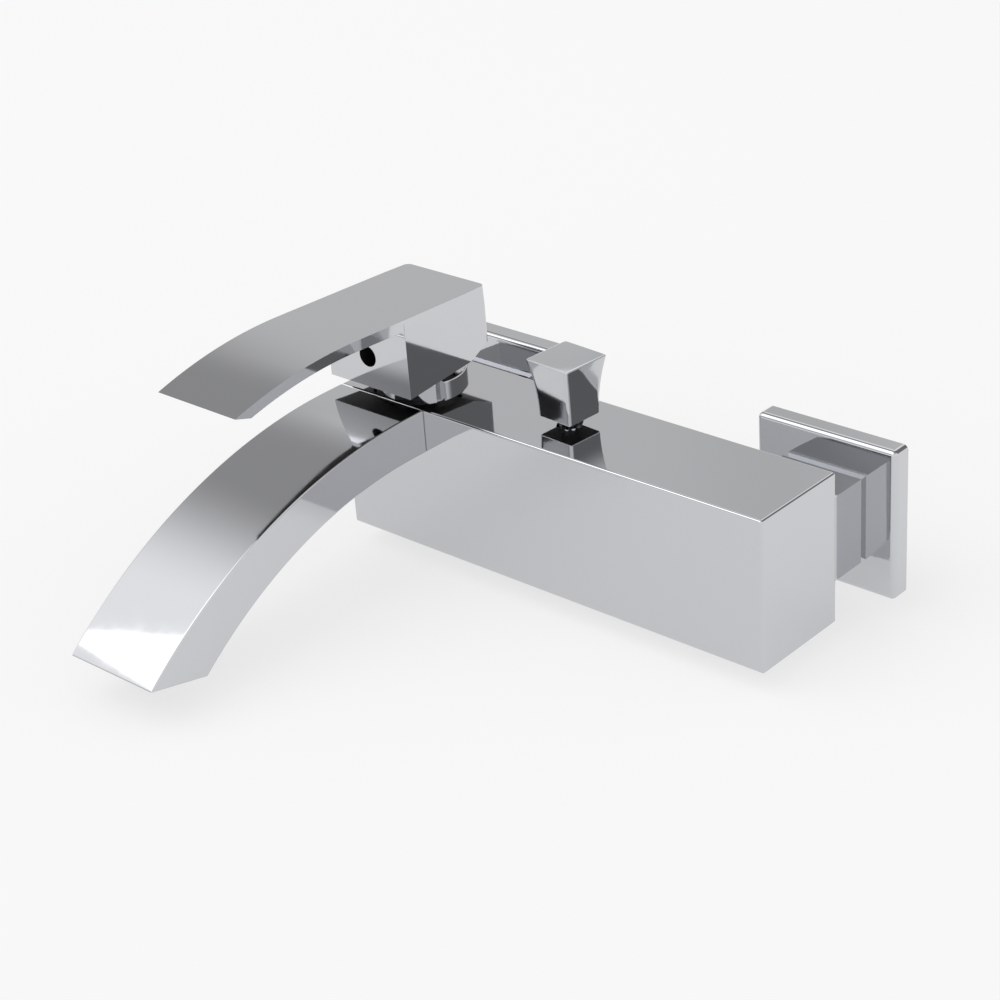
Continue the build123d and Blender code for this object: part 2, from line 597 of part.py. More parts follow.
def stem_slot():
    """The room that the stem sweeps inside the rotor as the lever tilts."""
    half = STEM_SIDE / 2 + SLIDE_GAP
    lean = (ROTOR_TOP - PIVOT_Z) * tan(radians(LEVER_TILT))
    back = STEM_SIDE / 2 / cos(radians(LEVER_TILT)) + lean + SLIDE_GAP
    return bar(AXIS_X - half, AXIS_X + half, AXIS_Y - half, AXIS_Y + back, CARRIER_TOP, ROTOR_TOP)


def pin_bar(extra_radius):
    """A bar along the cross pin's axis."""
    half = PIVOT_PIN_LENGTH / 2
    return lengthwise(PIVOT_PIN_RADIUS + extra_radius, AXIS_X - half, AXIS_X + half, AXIS_Y, PIVOT_Z)


def cartridge_housing():
    """The cartridge's cup: discs below the shoulder, the rotor in its neck."""
    cup = upright(CARTRIDGE_RADIUS, BASE_TOP, SHOULDER, AXIS_X, AXIS_Y)
    cup += upright(NECK_OUTER_RADIUS, SHOULDER, RING_TOP, AXIS_X, AXIS_Y)
    cup -= upright(HOUSING_INNER_RADIUS, BASE_TOP, SHOULDER - HOUSING_ROOF, AXIS_X, AXIS_Y)
    return cup - upright(NECK_INNER_RADIUS, BASE_TOP, RING_TOP, AXIS_X, AXIS_Y)


def cartridge_nut():
    """The plated ring that clamps the cartridge, castellated for a spanner where it stands proud."""
    ring = upright(RING_RADIUS, SHOULDER, RING_TOP, AXIS_X, AXIS_Y)
    ring = fillet(ring.edges().sort_by(Axis.Z)[-1], RING_EDGE_ROUND)
    ring -= upright(NECK_OUTER_RADIUS + SEAT_FIT, SHOULDER, RING_TOP, AXIS_X, AXIS_Y)
    notch = Box(RING_NOTCH_DEPTH * 2, RING_NOTCH_WIDTH, RING_RISE)
    notch = Pos(RING_RADIUS, 0, BODY_TOP + RING_RISE / 2) * notch
    for number in range(RING_NOTCHES):
        turn = RING_NOTCH_TURN + number * 360 / RING_NOTCHES
        ring -= Pos(AXIS_X, AXIS_Y, 0) * Rot(0, 0, turn) * notch
    return ring


def pivot_pin():
    """The cross pin of the lever, held in the rotor."""
    return pin_bar(0)


def lever_stem():
    """The square stem, with its slim foot below the cross pin and a round end in the carrier."""
    half = STEM_SIDE / 2
    shank = STEM_SHANK / 2
    foot_z = PIVOT_Z - STEM_FOOT_ARM
    stem = bar(AXIS_X - half, AXIS_X + half, AXIS_Y - half, AXIS_Y + half, PIVOT_Z, BODY_TOP + STEM_TOP)
    stem += lengthwise(half, AXIS_X - half, AXIS_X + half, AXIS_Y, PIVOT_Z)
    stem += bar(AXIS_X - half, AXIS_X + half, AXIS_Y - shank, AXIS_Y + shank, foot_z, PIVOT_Z)
    stem += lengthwise(STEM_FOOT_RADIUS, AXIS_X - half, AXIS_X + half, AXIS_Y, foot_z)
    return stem - pin_bar(RUNNING_FIT)


def handle_side_lines():
    """The handle's side outline in Y and Z: a block with a heel, and the blade that arcs down."""
    front = AXIS_Y - HANDLE_FRONT
    back = AXIS_Y + HANDLE_BACK
    rise = radians(BLADE_RISE_ANGLE)
    straight = HANDLE_BACK + BLADE_STRAIGHT_END
    arc_start = (AXIS_Y - BLADE_STRAIGHT_END, BODY_TOP + HANDLE_BACK_TOP + straight * tan(rise))
    turn = asin((BLADE_REACH - BLADE_STRAIGHT_END) / BLADE_RADIUS + sin(rise)) - rise
    tangent = (-cos(rise), sin(rise))
    top_arc = JernArc(arc_start, tangent, BLADE_RADIUS, degrees(turn))
    under_shift = (-sin(rise) * BLADE_THICKNESS, -cos(rise) * BLADE_THICKNESS)
    under_start = (arc_start[0] + under_shift[0], arc_start[1] + under_shift[1])
    under_turn = turn - BLADE_TIP_BACK / BLADE_RADIUS
    under_arc = JernArc(under_start, tangent, BLADE_RADIUS - BLADE_THICKNESS, degrees(under_turn))
    under_root_z = under_start[1] - (AXIS_Y - HANDLE_FRONT - under_start[0]) * tan(rise)
    return [
        Line((front, BODY_TOP + HANDLE_FRONT_GAP), (AXIS_Y + HANDLE_HEEL, BODY_TOP + HANDLE_BACK_GAP)),
        Line((AXIS_Y + HANDLE_HEEL, BODY_TOP + HANDLE_BACK_GAP), (back, BODY_TOP + HANDLE_HEEL_RISE)),
        Line((back, BODY_TOP + HANDLE_HEEL_RISE), (back, BODY_TOP + HANDLE_BACK_TOP)),
        Line((back, BODY_TOP + HANDLE_BACK_TOP), arc_start),
        top_arc,
        Line(top_arc @ 1, under_arc @ 1),
        under_arc,
        Line(under_start, (front, under_root_z)),
        Line((front, under_root_z), (front, BODY_TOP + HANDLE_FRONT_GAP)),
    ]


def handle_plan():
    """The handle's plan: slightly narrower at the tip, with soft corners at the back."""
    back = AXIS_Y + HANDLE_BACK
    tip = AXIS_Y - BLADE_REACH - OVERRUN
    corners = [
        (AXIS_X - HANDLE_WIDTH / 2, back),
        (AXIS_X + HANDLE_WIDTH / 2, back),
        (AXIS_X + HANDLE_TIP_WIDTH / 2, tip),
        (AXIS_X - HANDLE_TIP_WIDTH / 2, tip),
    ]
    face = make_face(Polyline(*corners, close=True))
    tall = extrude(face, amount=BODY_TOP + HANDLE_BACK_TOP * 2)
    upright_edges = tall.edges().filter_by(Axis.Z).group_by(Axis.Y)[-1]
    return fillet(upright_edges, HANDLE_CORNER_ROUND)


def handle_rounds(casting):
    """The casting with the edges of its two sides softly rounded."""
    back = AXIS_Y + HANDLE_BACK - HANDLE_CORNER_ROUND
    side = [edge for edge in casting.edges() if abs(edge.center().X - AXIS_X) > HANDLE_TIP_WIDTH / 4]
    return fillet([edge for edge in side if edge.center().Y < back], HANDLE_EDGE_ROUND)


def handle():
    """The cast handle: block and blade in one, bored for the cartridge's neck, the stem and the screw."""
    casting = side_extrusion(handle_side_lines(), HANDLE_WIDTH, AXIS_X)
    front = AXIS_Y - HANDLE_FRONT
    low = BODY_TOP + HANDLE_HEEL_RISE
    across = [edge for edge in casting.edges().filter_by(Axis.X) if edge.center().Z > low]
    root_edges = [edge for edge in across if abs(edge.center().Y - front) < BLADE_THICKNESS / 4]
    casting = handle_rounds(fillet(root_edges, BLADE_ROOT_ROUND) & handle_plan())
    cavity_top = BODY_TOP + HANDLE_CAVITY_TOP
    socket_top = BODY_TOP + STEM_TOP + SEAT_FIT
    half = STEM_SIDE / 2 + SEAT_FIT / 2
    screw_z = BODY_TOP + HANDLE_SCREW_RISE
    thread_front = AXIS_Y - half - HANDLE_THREAD_DEPTH
    casting -= upright(HANDLE_CAVITY_RADIUS, BODY_TOP, cavity_top, AXIS_X, AXIS_Y)
    casting -= bar(AXIS_X - half, AXIS_X + half, AXIS_Y - half, AXIS_Y + half, BODY_TOP, socket_top)
    casting -= inward(HANDLE_HOLE_RADIUS, front - OVERRUN, thread_front, AXIS_X, screw_z)
    return casting - inward(HANDLE_SCREW_RADIUS, thread_front, AXIS_Y, AXIS_X, screw_z)


def handle_screw():
    """The socket set screw that clamps the stem, seen down the hole in the block's front."""
    back = AXIS_Y - STEM_SIDE / 2
    front = back - HANDLE_SCREW_LENGTH
    screw_z = BODY_TOP + HANDLE_SCREW_RISE
    screw = inward(HANDLE_SCREW_RADIUS, front, back, AXIS_X, screw_z)
    key = extrude(RegularPolygon(SCREW_KEY_ACROSS / 2, 6, major_radius=False), amount=-HANDLE_SCREW_RADIUS)
    return screw - Pos(AXIS_X, front, screw_z) * Rot(90, 0, 0) * key


def diverter_gland():
    """The gland: flush with the body's top, a hex socket round the rod, a long cage with windows below."""
    points = [
        (ROD_RADIUS + RUNNING_FIT, CAGE_CEILING),
        (CAGE_BORE_RADIUS, CAGE_CEILING),
        (CAGE_BORE_RADIUS, CAGE_BOTTOM),
        (DIVERTER_BORE_RADIUS, CAGE_BOTTOM),
        (DIVERTER_BORE_RADIUS, BODY_TOP),
        (ROD_RADIUS + RUNNING_FIT, BODY_TOP),
    ]
    gland = turned_upright(points, DIVERTER_X, AXIS_Y)
    key = extrude(RegularPolygon(GLAND_KEY_ACROSS / 2, 6, major_radius=False), amount=GLAND_KEY_DEPTH)
    gland -= Pos(DIVERTER_X, AXIS_Y, BODY_TOP - GLAND_KEY_DEPTH) * key
    window_z = CAGE_BOTTOM + CAGE_FOOT + CAGE_WINDOW_HEIGHT / 2
    window = Box(DIVERTER_BORE_RADIUS, CAGE_WINDOW_WIDTH, CAGE_WINDOW_HEIGHT)
    window = Pos(DIVERTER_BORE_RADIUS, 0, window_z) * window
    for number in range(CAGE_WINDOWS):
        gland -= Pos(DIVERTER_X, AXIS_Y, 0) * Rot(0, 0, number * 360 / CAGE_WINDOWS) * window
    return gland - rod_seal_groove()


def rod_seal_place():
    """The height of the rod's O-ring inside the gland."""
    return (CAGE_CEILING + BODY_TOP) / 2


def rod_seal_groove():
    """The groove for the rod's O-ring."""
    middle = rod_seal_place()
    outer = ROD_RADIUS + RUNNING_FIT + ROD_SEAL_SECTION * 2
    return upright(outer, middle - ROD_SEAL_SECTION, middle + ROD_SEAL_SECTION, DIVERTER_X, AXIS_Y)


def rod_seal():
    """The O-ring that the diverter's rod slides through."""
    ring = Torus(ROD_RADIUS + RUNNING_FIT + ROD_SEAL_SECTION, ROD_SEAL_SECTION)
    return Pos(DIVERTER_X, AXIS_Y, rod_seal_place()) * ring


def diverter_seat():
    """The lower seat, pressed in at the foot of the diverter's chamber."""
    bottom = SEAT_TOP - SEAT_THICKNESS
    return upright_ring(DIVERTER_BORE_RADIUS, SEAT_HOLE_RADIUS, bottom, SEAT_TOP, DIVERTER_X, AXIS_Y)


def diverter_rod():
    """The rod from the knob down through the gland, stepped to carry the poppet."""
    foot_bottom = POPPET_BOTTOM - CLIP_THICKNESS - SLIDE_GAP * 2
    points = [
        (0, foot_bottom),
        (ROD_FOOT_RADIUS, foot_bottom),
        (ROD_FOOT_RADIUS, POPPET_TOP + SLIDE_GAP),
        (ROD_RADIUS, POPPET_TOP + SLIDE_GAP),
        (ROD_RADIUS, KNOB_BOTTOM + ROD_IN_KNOB),
        (0, KNOB_BOTTOM + ROD_IN_KNOB),
    ]
    return turned_upright(points, DIVERTER_X, AXIS_Y)


def rod_clip():
    """The clip under the poppet that keeps it on the rod."""
    top = POPPET_BOTTOM - SLIDE_GAP
    return upright_ring(CLIP_RADIUS, ROD_FOOT_RADIUS, top - CLIP_THICKNESS, top, DIVERTER_X, AXIS_Y)


def poppet():
    """The poppet that closes one seat or the other."""
    hole = ROD_FOOT_RADIUS + RUNNING_FIT
    return upright_ring(POPPET_RADIUS, hole, POPPET_BOTTOM, POPPET_TOP, DIVERTER_X, AXIS_Y)


def poppet_washers():
    """The two rubber washers on the poppet's faces."""
    outer = POPPET_RADIUS
    inner = POPPET_WASHER_HOLE_RADIUS
    bottom = POPPET_BOTTOM - POPPET_WASHER_THICKNESS
    low = upright_ring(outer, inner, bottom, POPPET_BOTTOM, DIVERTER_X, AXIS_Y)
    high = upright_ring(outer, inner, POPPET_TOP, PLUNGER_TOP, DIVERTER_X, AXIS_Y)
    return low + high


def diverter_spring():
    """The return spring between poppet and gland, as one coil of round wire."""
    bottom = POPPET_TOP + SPRING_WIRE_RADIUS
    top = CAGE_CEILING - SPRING_WIRE_RADIUS
    pitch = (top - bottom) / SPRING_TURNS
    path = Helix(pitch, top - bottom, SPRING_RADIUS)
    section = Plane(origin=path @ 0, z_dir=path % 0) * Circle(SPRING_WIRE_RADIUS)
    return Pos(DIVERTER_X, AXIS_Y, bottom) * sweep(section, path)


def knob_side(width_axis_turn):
    """One of the two crossed prisms whose common part is the knob: hollow sides and a low crown."""
    foot = KNOB_FOOT / 2
    head = KNOB_HEAD / 2
    top = KNOB_HEIGHT - KNOB_CROWN
    outline = [
        Line((-foot, 0), (foot, 0)),
        RadiusArc((foot, 0), (head, top), KNOB_SIDE_RADIUS),
        ThreePointArc((head, top), (0, KNOB_HEIGHT), (-head, top)),
        RadiusArc((-head, top), (-foot, 0), KNOB_SIDE_RADIUS),
    ]
    face = Plane.XZ * make_face(Curve() + outline)
    return Rot(0, 0, width_axis_turn) * extrude(face, amount=KNOB_HEAD, both=True)


def knob():
    """The square flared knob of the diverter, at rest a little off square as it spins freely."""
    body = knob_side(0) & knob_side(90)
    body = fillet(body.edges(), KNOB_EDGE_ROUND)
    body = Pos(DIVERTER_X, AXIS_Y, KNOB_BOTTOM) * Rot(0, 0, KNOB_TURN) * body
    return body - upright(ROD_RADIUS, KNOB_BOTTOM, KNOB_BOTTOM + ROD_IN_KNOB, DIVERTER_X, AXIS_Y)


def shower_outlet():
    """The threaded nipple for the shower hose, under the body and set back."""
    bottom = -BODY_TOP - OUTLET_DROP
    points = [
        (OUTLET_BORE_RADIUS, bottom),
        (OUTLET_THREAD_RADIUS - THREAD_CHAMFER, bottom),
        (OUTLET_THREAD_RADIUS, bottom + THREAD_CHAMFER),
        (OUTLET_THREAD_RADIUS, -BODY_TOP),
        (OUTLET_SOCKET_RADIUS, -BODY_TOP),
        (OUTLET_SOCKET_RADIUS, OUTLET_SOCKET_TOP - OUTLET_SEAL_SECTION * 2),
        (OUTLET_BORE_RADIUS, OUTLET_SOCKET_TOP - OUTLET_SEAL_SECTION * 2),
    ]
    return turned_upright(points, DIVERTER_X, OUTLET_Y)


def outlet_seal():
    """The O-ring between the outlet nipple and the floor of its socket."""
    ring = Torus(OUTLET_SOCKET_RADIUS - OUTLET_SEAL_SECTION, OUTLET_SEAL_SECTION)
    return Pos(DIVERTER_X, OUTLET_Y, OUTLET_SOCKET_TOP - OUTLET_SEAL_SECTION) * ring


def all_parts():
    """Every piece by its node name."""
    parts = {
        "body_block": body_block(),
        "spout": spout(),
        "spout_seal": spout_seal(),
        "spout_screws": spout_screws(),
        "flow_former": flow_former(),
        "cartridge_base": cartridge_base(),
        "port_seals": port_seals(),
        "fixed_disc": fixed_disc(),
        "cartridge_housing": cartridge_housing(),
        "cartridge_nut": cartridge_nut(),
        "moving_disc": moving_disc(),
        "disc_carrier": disc_carrier(),
        "rotor": rotor(),
        "pivot_pin": pivot_pin(),
        "lever_stem": lever_stem(),
        "handle": handle(),
        "handle_screw": handle_screw(),
        "diverter_gland": diverter_gland(),
        "rod_seal": rod_seal(),
        "diverter_seat": diverter_seat(),
        "diverter_rod": diverter_rod(),
        "rod_clip": rod_clip(),
        "poppet": poppet(),
        "poppet_washers": poppet_washers(),
        "diverter_spring": diverter_spring(),
        "knob": knob(),
        "shower_outlet": shower_outlet(),
        "outlet_seal": outlet_seal(),
    }
    for side, x in INLETS.items():
        parts[side + "_inlet_tail"] = inlet_tail(x)
        parts[side + "_filter_washer"] = filter_washer(x)
        parts[side + "_union_nut"] = union_nut(x)
        parts[side + "_wall_union"] = wall_union(x)
        parts[side + "_wall_flange"] = wall_flange(x)
    return parts


def main():
    """Writes one STEP file for each piece."""
    os.makedirs("parts", exist_ok=True)
    for name, solid in all_parts().items():
        export_step(solid, "parts/" + name + ".step")
        print(name, round(solid.volume, 1))


if __name__ == "__main__":
    main()
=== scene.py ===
"""The looks of the exposed bath and shower mixer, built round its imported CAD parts.

The script works in the frame of the CAD: +X to the right, +Y into the wall and +Z up, from a
point on the wall midway between the two inlets. The pieces' sizes are in millimetres and the
studio's in metres.
"""

import json
import logging
import math
from collections.abc import Callable
from dataclasses import dataclass
from enum import Enum

import bmesh
import bpy
from mathutils import Matrix, Vector

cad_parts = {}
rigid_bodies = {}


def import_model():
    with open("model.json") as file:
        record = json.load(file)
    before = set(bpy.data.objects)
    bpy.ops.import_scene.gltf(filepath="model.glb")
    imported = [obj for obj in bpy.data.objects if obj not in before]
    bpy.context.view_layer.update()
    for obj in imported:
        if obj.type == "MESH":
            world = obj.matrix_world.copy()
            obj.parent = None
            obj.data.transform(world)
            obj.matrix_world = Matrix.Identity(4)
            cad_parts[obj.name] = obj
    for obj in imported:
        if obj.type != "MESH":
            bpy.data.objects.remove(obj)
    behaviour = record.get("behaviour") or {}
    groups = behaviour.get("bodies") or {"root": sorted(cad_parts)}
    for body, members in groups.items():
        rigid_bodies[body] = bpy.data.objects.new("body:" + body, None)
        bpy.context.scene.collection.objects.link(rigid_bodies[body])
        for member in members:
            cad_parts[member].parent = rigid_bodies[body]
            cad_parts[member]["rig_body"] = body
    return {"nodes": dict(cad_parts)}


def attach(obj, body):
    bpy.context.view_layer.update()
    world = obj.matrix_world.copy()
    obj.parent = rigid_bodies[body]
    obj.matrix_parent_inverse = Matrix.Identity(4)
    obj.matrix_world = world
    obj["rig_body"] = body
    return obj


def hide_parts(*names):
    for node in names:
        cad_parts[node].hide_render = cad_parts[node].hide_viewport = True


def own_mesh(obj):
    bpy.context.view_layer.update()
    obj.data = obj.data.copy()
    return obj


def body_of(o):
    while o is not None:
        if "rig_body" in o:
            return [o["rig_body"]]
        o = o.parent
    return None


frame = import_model()
LOG = logging.getLogger("mixer")
MM = 0.001
# In millimetres: a point this close to a place is at it, and the same where only rounding differs.
NEAR = 0.1
SAME = 0.001
# The cosines from which a normal or an edge counts as along a direction, and as dead along it.
ALONG = 0.9
SQUARE = 0.99
Pair = tuple[float, float]
Point = tuple[float, float, float]
Steps = tuple[Pair, ...]
Socket = bpy.types.NodeSocket
Tree = bpy.types.NodeTree
Node = bpy.types.Node
Test = Callable[[Vector, Vector], bool]


class Pick(Enum):
    """What a selection in edit mode is made of."""

    POINTS = "VERT"
    EDGES = "EDGE"
    FACES = "FACE"


def near(place: float, other: float) -> bool:
    """Says whether two places in millimetres count as one."""
    return abs(place - other) < NEAR


def linear(colour: str) -> tuple[float, float, float, float]:
    """Turns an sRGB hex colour into Blender's linear colour.

    Args:
        colour: Six hex digits after a hash sign.

    Returns:
        Red, green, blue and an alpha of one.
    """
    channels = [int(colour[start : start + 2], 16) / 255 for start in (1, 3, 5)]
    values = [c / 12.92 if c <= 0.04045 else ((c + 0.055) / 1.055) ** 2.4 for c in channels]
    return values[0], values[1], values[2], 1.0


def add_node(tree: Tree, kind: str, settings: dict, links: dict) -> Node:
    """Adds a shader node.

    Args:
        tree: The tree that the node goes into.
        kind: The node's type, such as ShaderNodeBump.
        settings: Values by property name, or by the name or number of an input.
        links: Output sockets by the name or number of the input that they feed.

    Returns:
        The new node.
    """
    node = tree.nodes.new(kind)
    for name, value in settings.items():
        if isinstance(name, str) and name in node.bl_rna.properties:
            setattr(node, name, value)
        else:
            node.inputs[name].default_value = value
    for name, socket in links.items():
        tree.links.new(socket, node.inputs[name])
    return node


@dataclass(frozen=True)
class Finish:
    """A material and how its surface was made.

    A surface has up to three patterns: patches of a second colour, a gloss that varies from
    place to place, and a relief. Their spans are shares of the pattern's own range.
    """

    name: str
    colour: str
    roughness: float
    metallic: float = 0.0
    second: str = "#FFFFFF"
    patch_mm: float = 25 / 3
    patch_detail: float = 3.0
    patch_softness: float = 0.5
    patch_span: Pair = (0.0, 1.0)
    patch_share: float = 0.12
    gloss_span: Pair = (0.0, 1.0)
    gloss_factors: Pair = (0.85, 1.15)
    relief: float = 0.3
    relief_mm: float = 0.01

    def start(self) -> tuple[Tree, Node, Socket]:
        """Begins the material with a plain shader and the object's own coordinates.

        Returns:
            The node tree, the shader node and the coordinates' socket.
        """
        material = bpy.data.materials.new(self.name)
        material.use_nodes = True
        material.diffuse_color = linear(self.colour)
        tree = material.node_tree
        shader = tree.nodes["Principled BSDF"]
        shader.inputs["Base Color"].default_value = linear(self.colour)
        shader.inputs["Metallic"].default_value = self.metallic
        shader.inputs["Roughness"].default_value = self.roughness
        place = add_node(tree, "ShaderNodeTexCoord", {}, {})
        return tree, shader, place.outputs["Object"]

    def stain(self, tree: Tree, shader: Node, place: Socket) -> Socket:
        """Blends the colour towards the second one in soft patches.

        Args:
            tree: The material's tree.
            shader: Its shader.
            place: The coordinates.

        Returns:
            The patches' pattern.
        """
        patches = add_node(
            tree, "ShaderNodeTexNoise",
            {
                "Scale": 1 / (self.patch_mm * MM), "Detail": self.patch_detail,
                "Roughness": self.patch_softness,
            },
            {"Vector": place},
        )
        low, high = self.patch_span
        blend = add_node(
            tree, "ShaderNodeMapRange",
            {"From Min": low, "From Max": high, "To Min": 0.0, "To Max": self.patch_share},
            {"Value": patches.outputs["Fac"]},
        )
        tint = add_node(
            tree, "ShaderNodeMix",
            {"data_type": "RGBA", 6: linear(self.colour), 7: linear(self.second)},
            {0: blend.outputs["Result"]},
        )
        tree.links.new(tint.outputs[2], shader.inputs["Base Color"])
        return patches.outputs["Fac"]

    def work(self, tree: Tree, shader: Node, gloss: Socket, height: Socket) -> None:
        """Lets one pattern vary the gloss and another stand in relief.

        Args:
            tree: The material's tree.
            shader: Its shader.
            gloss: The pattern that varies the gloss.
            height: The pattern that stands in relief.
        """
        low, high = self.gloss_span
        clear, dull = self.gloss_factors
        rough = add_node(
            tree, "ShaderNodeMapRange",
            {
                "From Min": low, "From Max": high,
                "To Min": self.roughness * clear, "To Max": self.roughness * dull,
            },
            {"Value": gloss},
        )
        tree.links.new(rough.outputs["Result"], shader.inputs["Roughness"])
        bump = add_node(
            tree, "ShaderNodeBump",
            {"Strength": self.relief, "Distance": self.relief_mm * MM}, {"Height": height},
        )
        tree.links.new(bump.outputs["Normal"], shader.inputs["Normal"])

    def material(self) -> bpy.types.Material:
        """Returns this finish's material, making it the first time."""
        if self.name not in bpy.data.materials:
            self.make()
        return bpy.data.materials[self.name]

    def make(self) -> None:
        """Makes the material's nodes. Each kind of finish has its own."""
        raise NotImplementedError


@dataclass(frozen=True)
class Chrome(Finish):
    """Bright chromium plate over nickel on polished brass.

    The eye sees a mirror whose reflections waver a little where the buffing wheel left the
    brass uneven, with a faint haze of fine scratches that changes from place to place.
    """

    gloss_span: Pair = (0.3, 0.75)
    gloss_factors: Pair = (0.75, 1.6)
    relief: float = 0.08
    relief_mm: float = 0.2
    wave_mm: float = 26.0
    haze_mm: float = 7.0

    def make(self) -> None:
        """Makes a mirror with buffing waves and a patchy haze."""
        tree, shader, place = self.start()
        waves = add_node(
            tree, "ShaderNodeTexNoise",
            {"Scale": 1 / (self.wave_mm * MM), "Detail": 1.0, "Roughness": 0.4}, {"Vector": place},
        )
        haze = add_node(
            tree, "ShaderNodeTexNoise",
            {"Scale": 1 / (self.haze_mm * MM), "Detail": 5.0, "Roughness": 0.62}, {"Vector": place},
        )
        self.work(tree, shader, haze.outputs["Fac"], waves.outputs["Fac"])


@dataclass(frozen=True)
class BareBrass(Finish):
    """Free-cutting brass turned on a lathe and left bare.

    The eye sees a warm dull gold with browner patches where fingers and flux have touched it.
    The tool's marks are too fine to show as rings here, and are drawn as a fine roughness.
    """

    second: str = "#8A6B33"
    patch_mm: float = 6.25
    patch_detail: float = 4.0
    patch_softness: float = 0.6
    patch_span: Pair = (0.42, 0.75)
    patch_share: float = 1.0
    gloss_factors: Pair = (0.7, 1.5)
    relief: float = 0.25
    relief_mm: float = 0.03
    groove_mm: float = 0.25

    def make(self) -> None:
        """Makes turned brass with a fine roughness and tarnish."""
        tree, shader, place = self.start()
        tarnish = self.stain(tree, shader, place)
        grooves = add_node(
            tree, "ShaderNodeTexNoise",
            {"Scale": 1 / (self.groove_mm * MM), "Detail": 2.0}, {"Vector": place},
        )
        self.work(tree, shader, tarnish, grooves.outputs["Fac"])


@dataclass(frozen=True)
class DrawnSteel(Finish):
    """Stainless wire and rod, drawn through a die.

    The eye sees a grey metal, duller than chrome. The die's lines are too fine to show, and are
    drawn as a fine roughness without a direction.
    """

    gloss_factors: Pair = (0.8, 1.4)
    relief: float = 0.2
    relief_mm: float = 0.02
    line_mm: float = 0.3

    def make(self) -> None:
        """Makes grey steel with a fine roughness."""
        tree, shader, place = self.start()
        lines = add_node(
            tree, "ShaderNodeTexNoise",
            {"Scale": 1 / (self.line_mm * MM), "Detail": 3.0}, {"Vector": place},
        )
        self.work(tree, shader, lines.outputs["Fac"], lines.outputs["Fac"])


@dataclass(frozen=True)
class Moulded(Finish):
    """A surface with a fine grain all over: moulded plastic or rubber, a dark metal used as painted
    shade, ceramic.

    The eye sees an even colour with soft mottling, a fine grain and a gloss that varies slightly
    across it.
    """

    grain_mm: float = 0.2

    def make(self) -> None:
        """Makes the colour with its mottling, and the grain."""
        tree, shader, place = self.start()
        self.stain(tree, shader, place)
        grain = add_node(
            tree, "ShaderNodeTexNoise",
            {"Scale": 1 / (self.grain_mm * MM), "Detail": 2.0}, {"Vector": place},
        )
        self.work(tree, shader, grain.outputs["Fac"], grain.outputs["Fac"])


# Chromium plate reflects about 60% of the light: a mirror a good step darker than white, so the
# pale studio shows light grey in it and a double reflection shows dark.
CHROME = Chrome("polished_chrome_plate", "#CCCDD0", 0.05, 1.0)
# Bare brass shows a dull warm gold with browner patches.
BRASS = BareBrass("turned_bare_brass", "#C9A45C", 0.28, 1.0)
# Drawn stainless steel shows a soft grey sheen, duller than the chrome.
STEEL = DrawnSteel("drawn_stainless_steel", "#B4B5B8", 0.3, 1.0)
# A dark grainy metal, laid under the handle and the knob as painted shade, shows almost black, with
# no reflection sharp enough to read.
PAINTED_SHADE = Moulded(
    "painted_shade_dark_metal", "#2B2A2A", 0.62, 0.6, "#4A4848", grain_mm=0.35, relief_mm=0.02
)
# Black rubber shows matt and flat.
RUBBER = Moulded(
    "moulded_black_rubber", "#1B1B1C", 0.7, 0.0, "#3A3A3B", grain_mm=0.3, relief_mm=0.015
)
# White acetal shows a waxy off-white with a soft gloss.
ACETAL = Moulded("moulded_white_acetal", "#E4E3DD", 0.38, 0.0, "#F6F5F0", relief_mm=0.008)
# Grey acetal shows the same soft gloss on dark grey.
DARK_ACETAL = Moulded("moulded_grey_acetal", "#4A4B4F", 0.4, 0.0, "#6A6B70", relief_mm=0.008)
# The flow former's plastic shows pale grey and slightly glossy.
GRID_PLASTIC = Moulded(
    "moulded_pale_grid_plastic", "#C9CBCF", 0.34, 0.0, "#E8EAEE", relief_mm=0.008
)
# Lapped alumina shows a creamy white, smooth enough to mirror a lamp.
CERAMIC = Moulded(
    "lapped_alumina_ceramic", "#F1EEE6", 0.12, 0.0, "#FFFDF6", grain_mm=0.15, relief_mm=0.002
)


def dress(node: str, finish: Finish) -> None:
    """Gives a CAD node its finish.

    Args:
        node: The CAD node's name.
        finish: The finish it gets.
    """
    thing = frame["nodes"][node]
    thing.data.materials.clear()
    thing.data.materials.append(finish.material())
    LOG.info("%s: %s", node, finish.name)


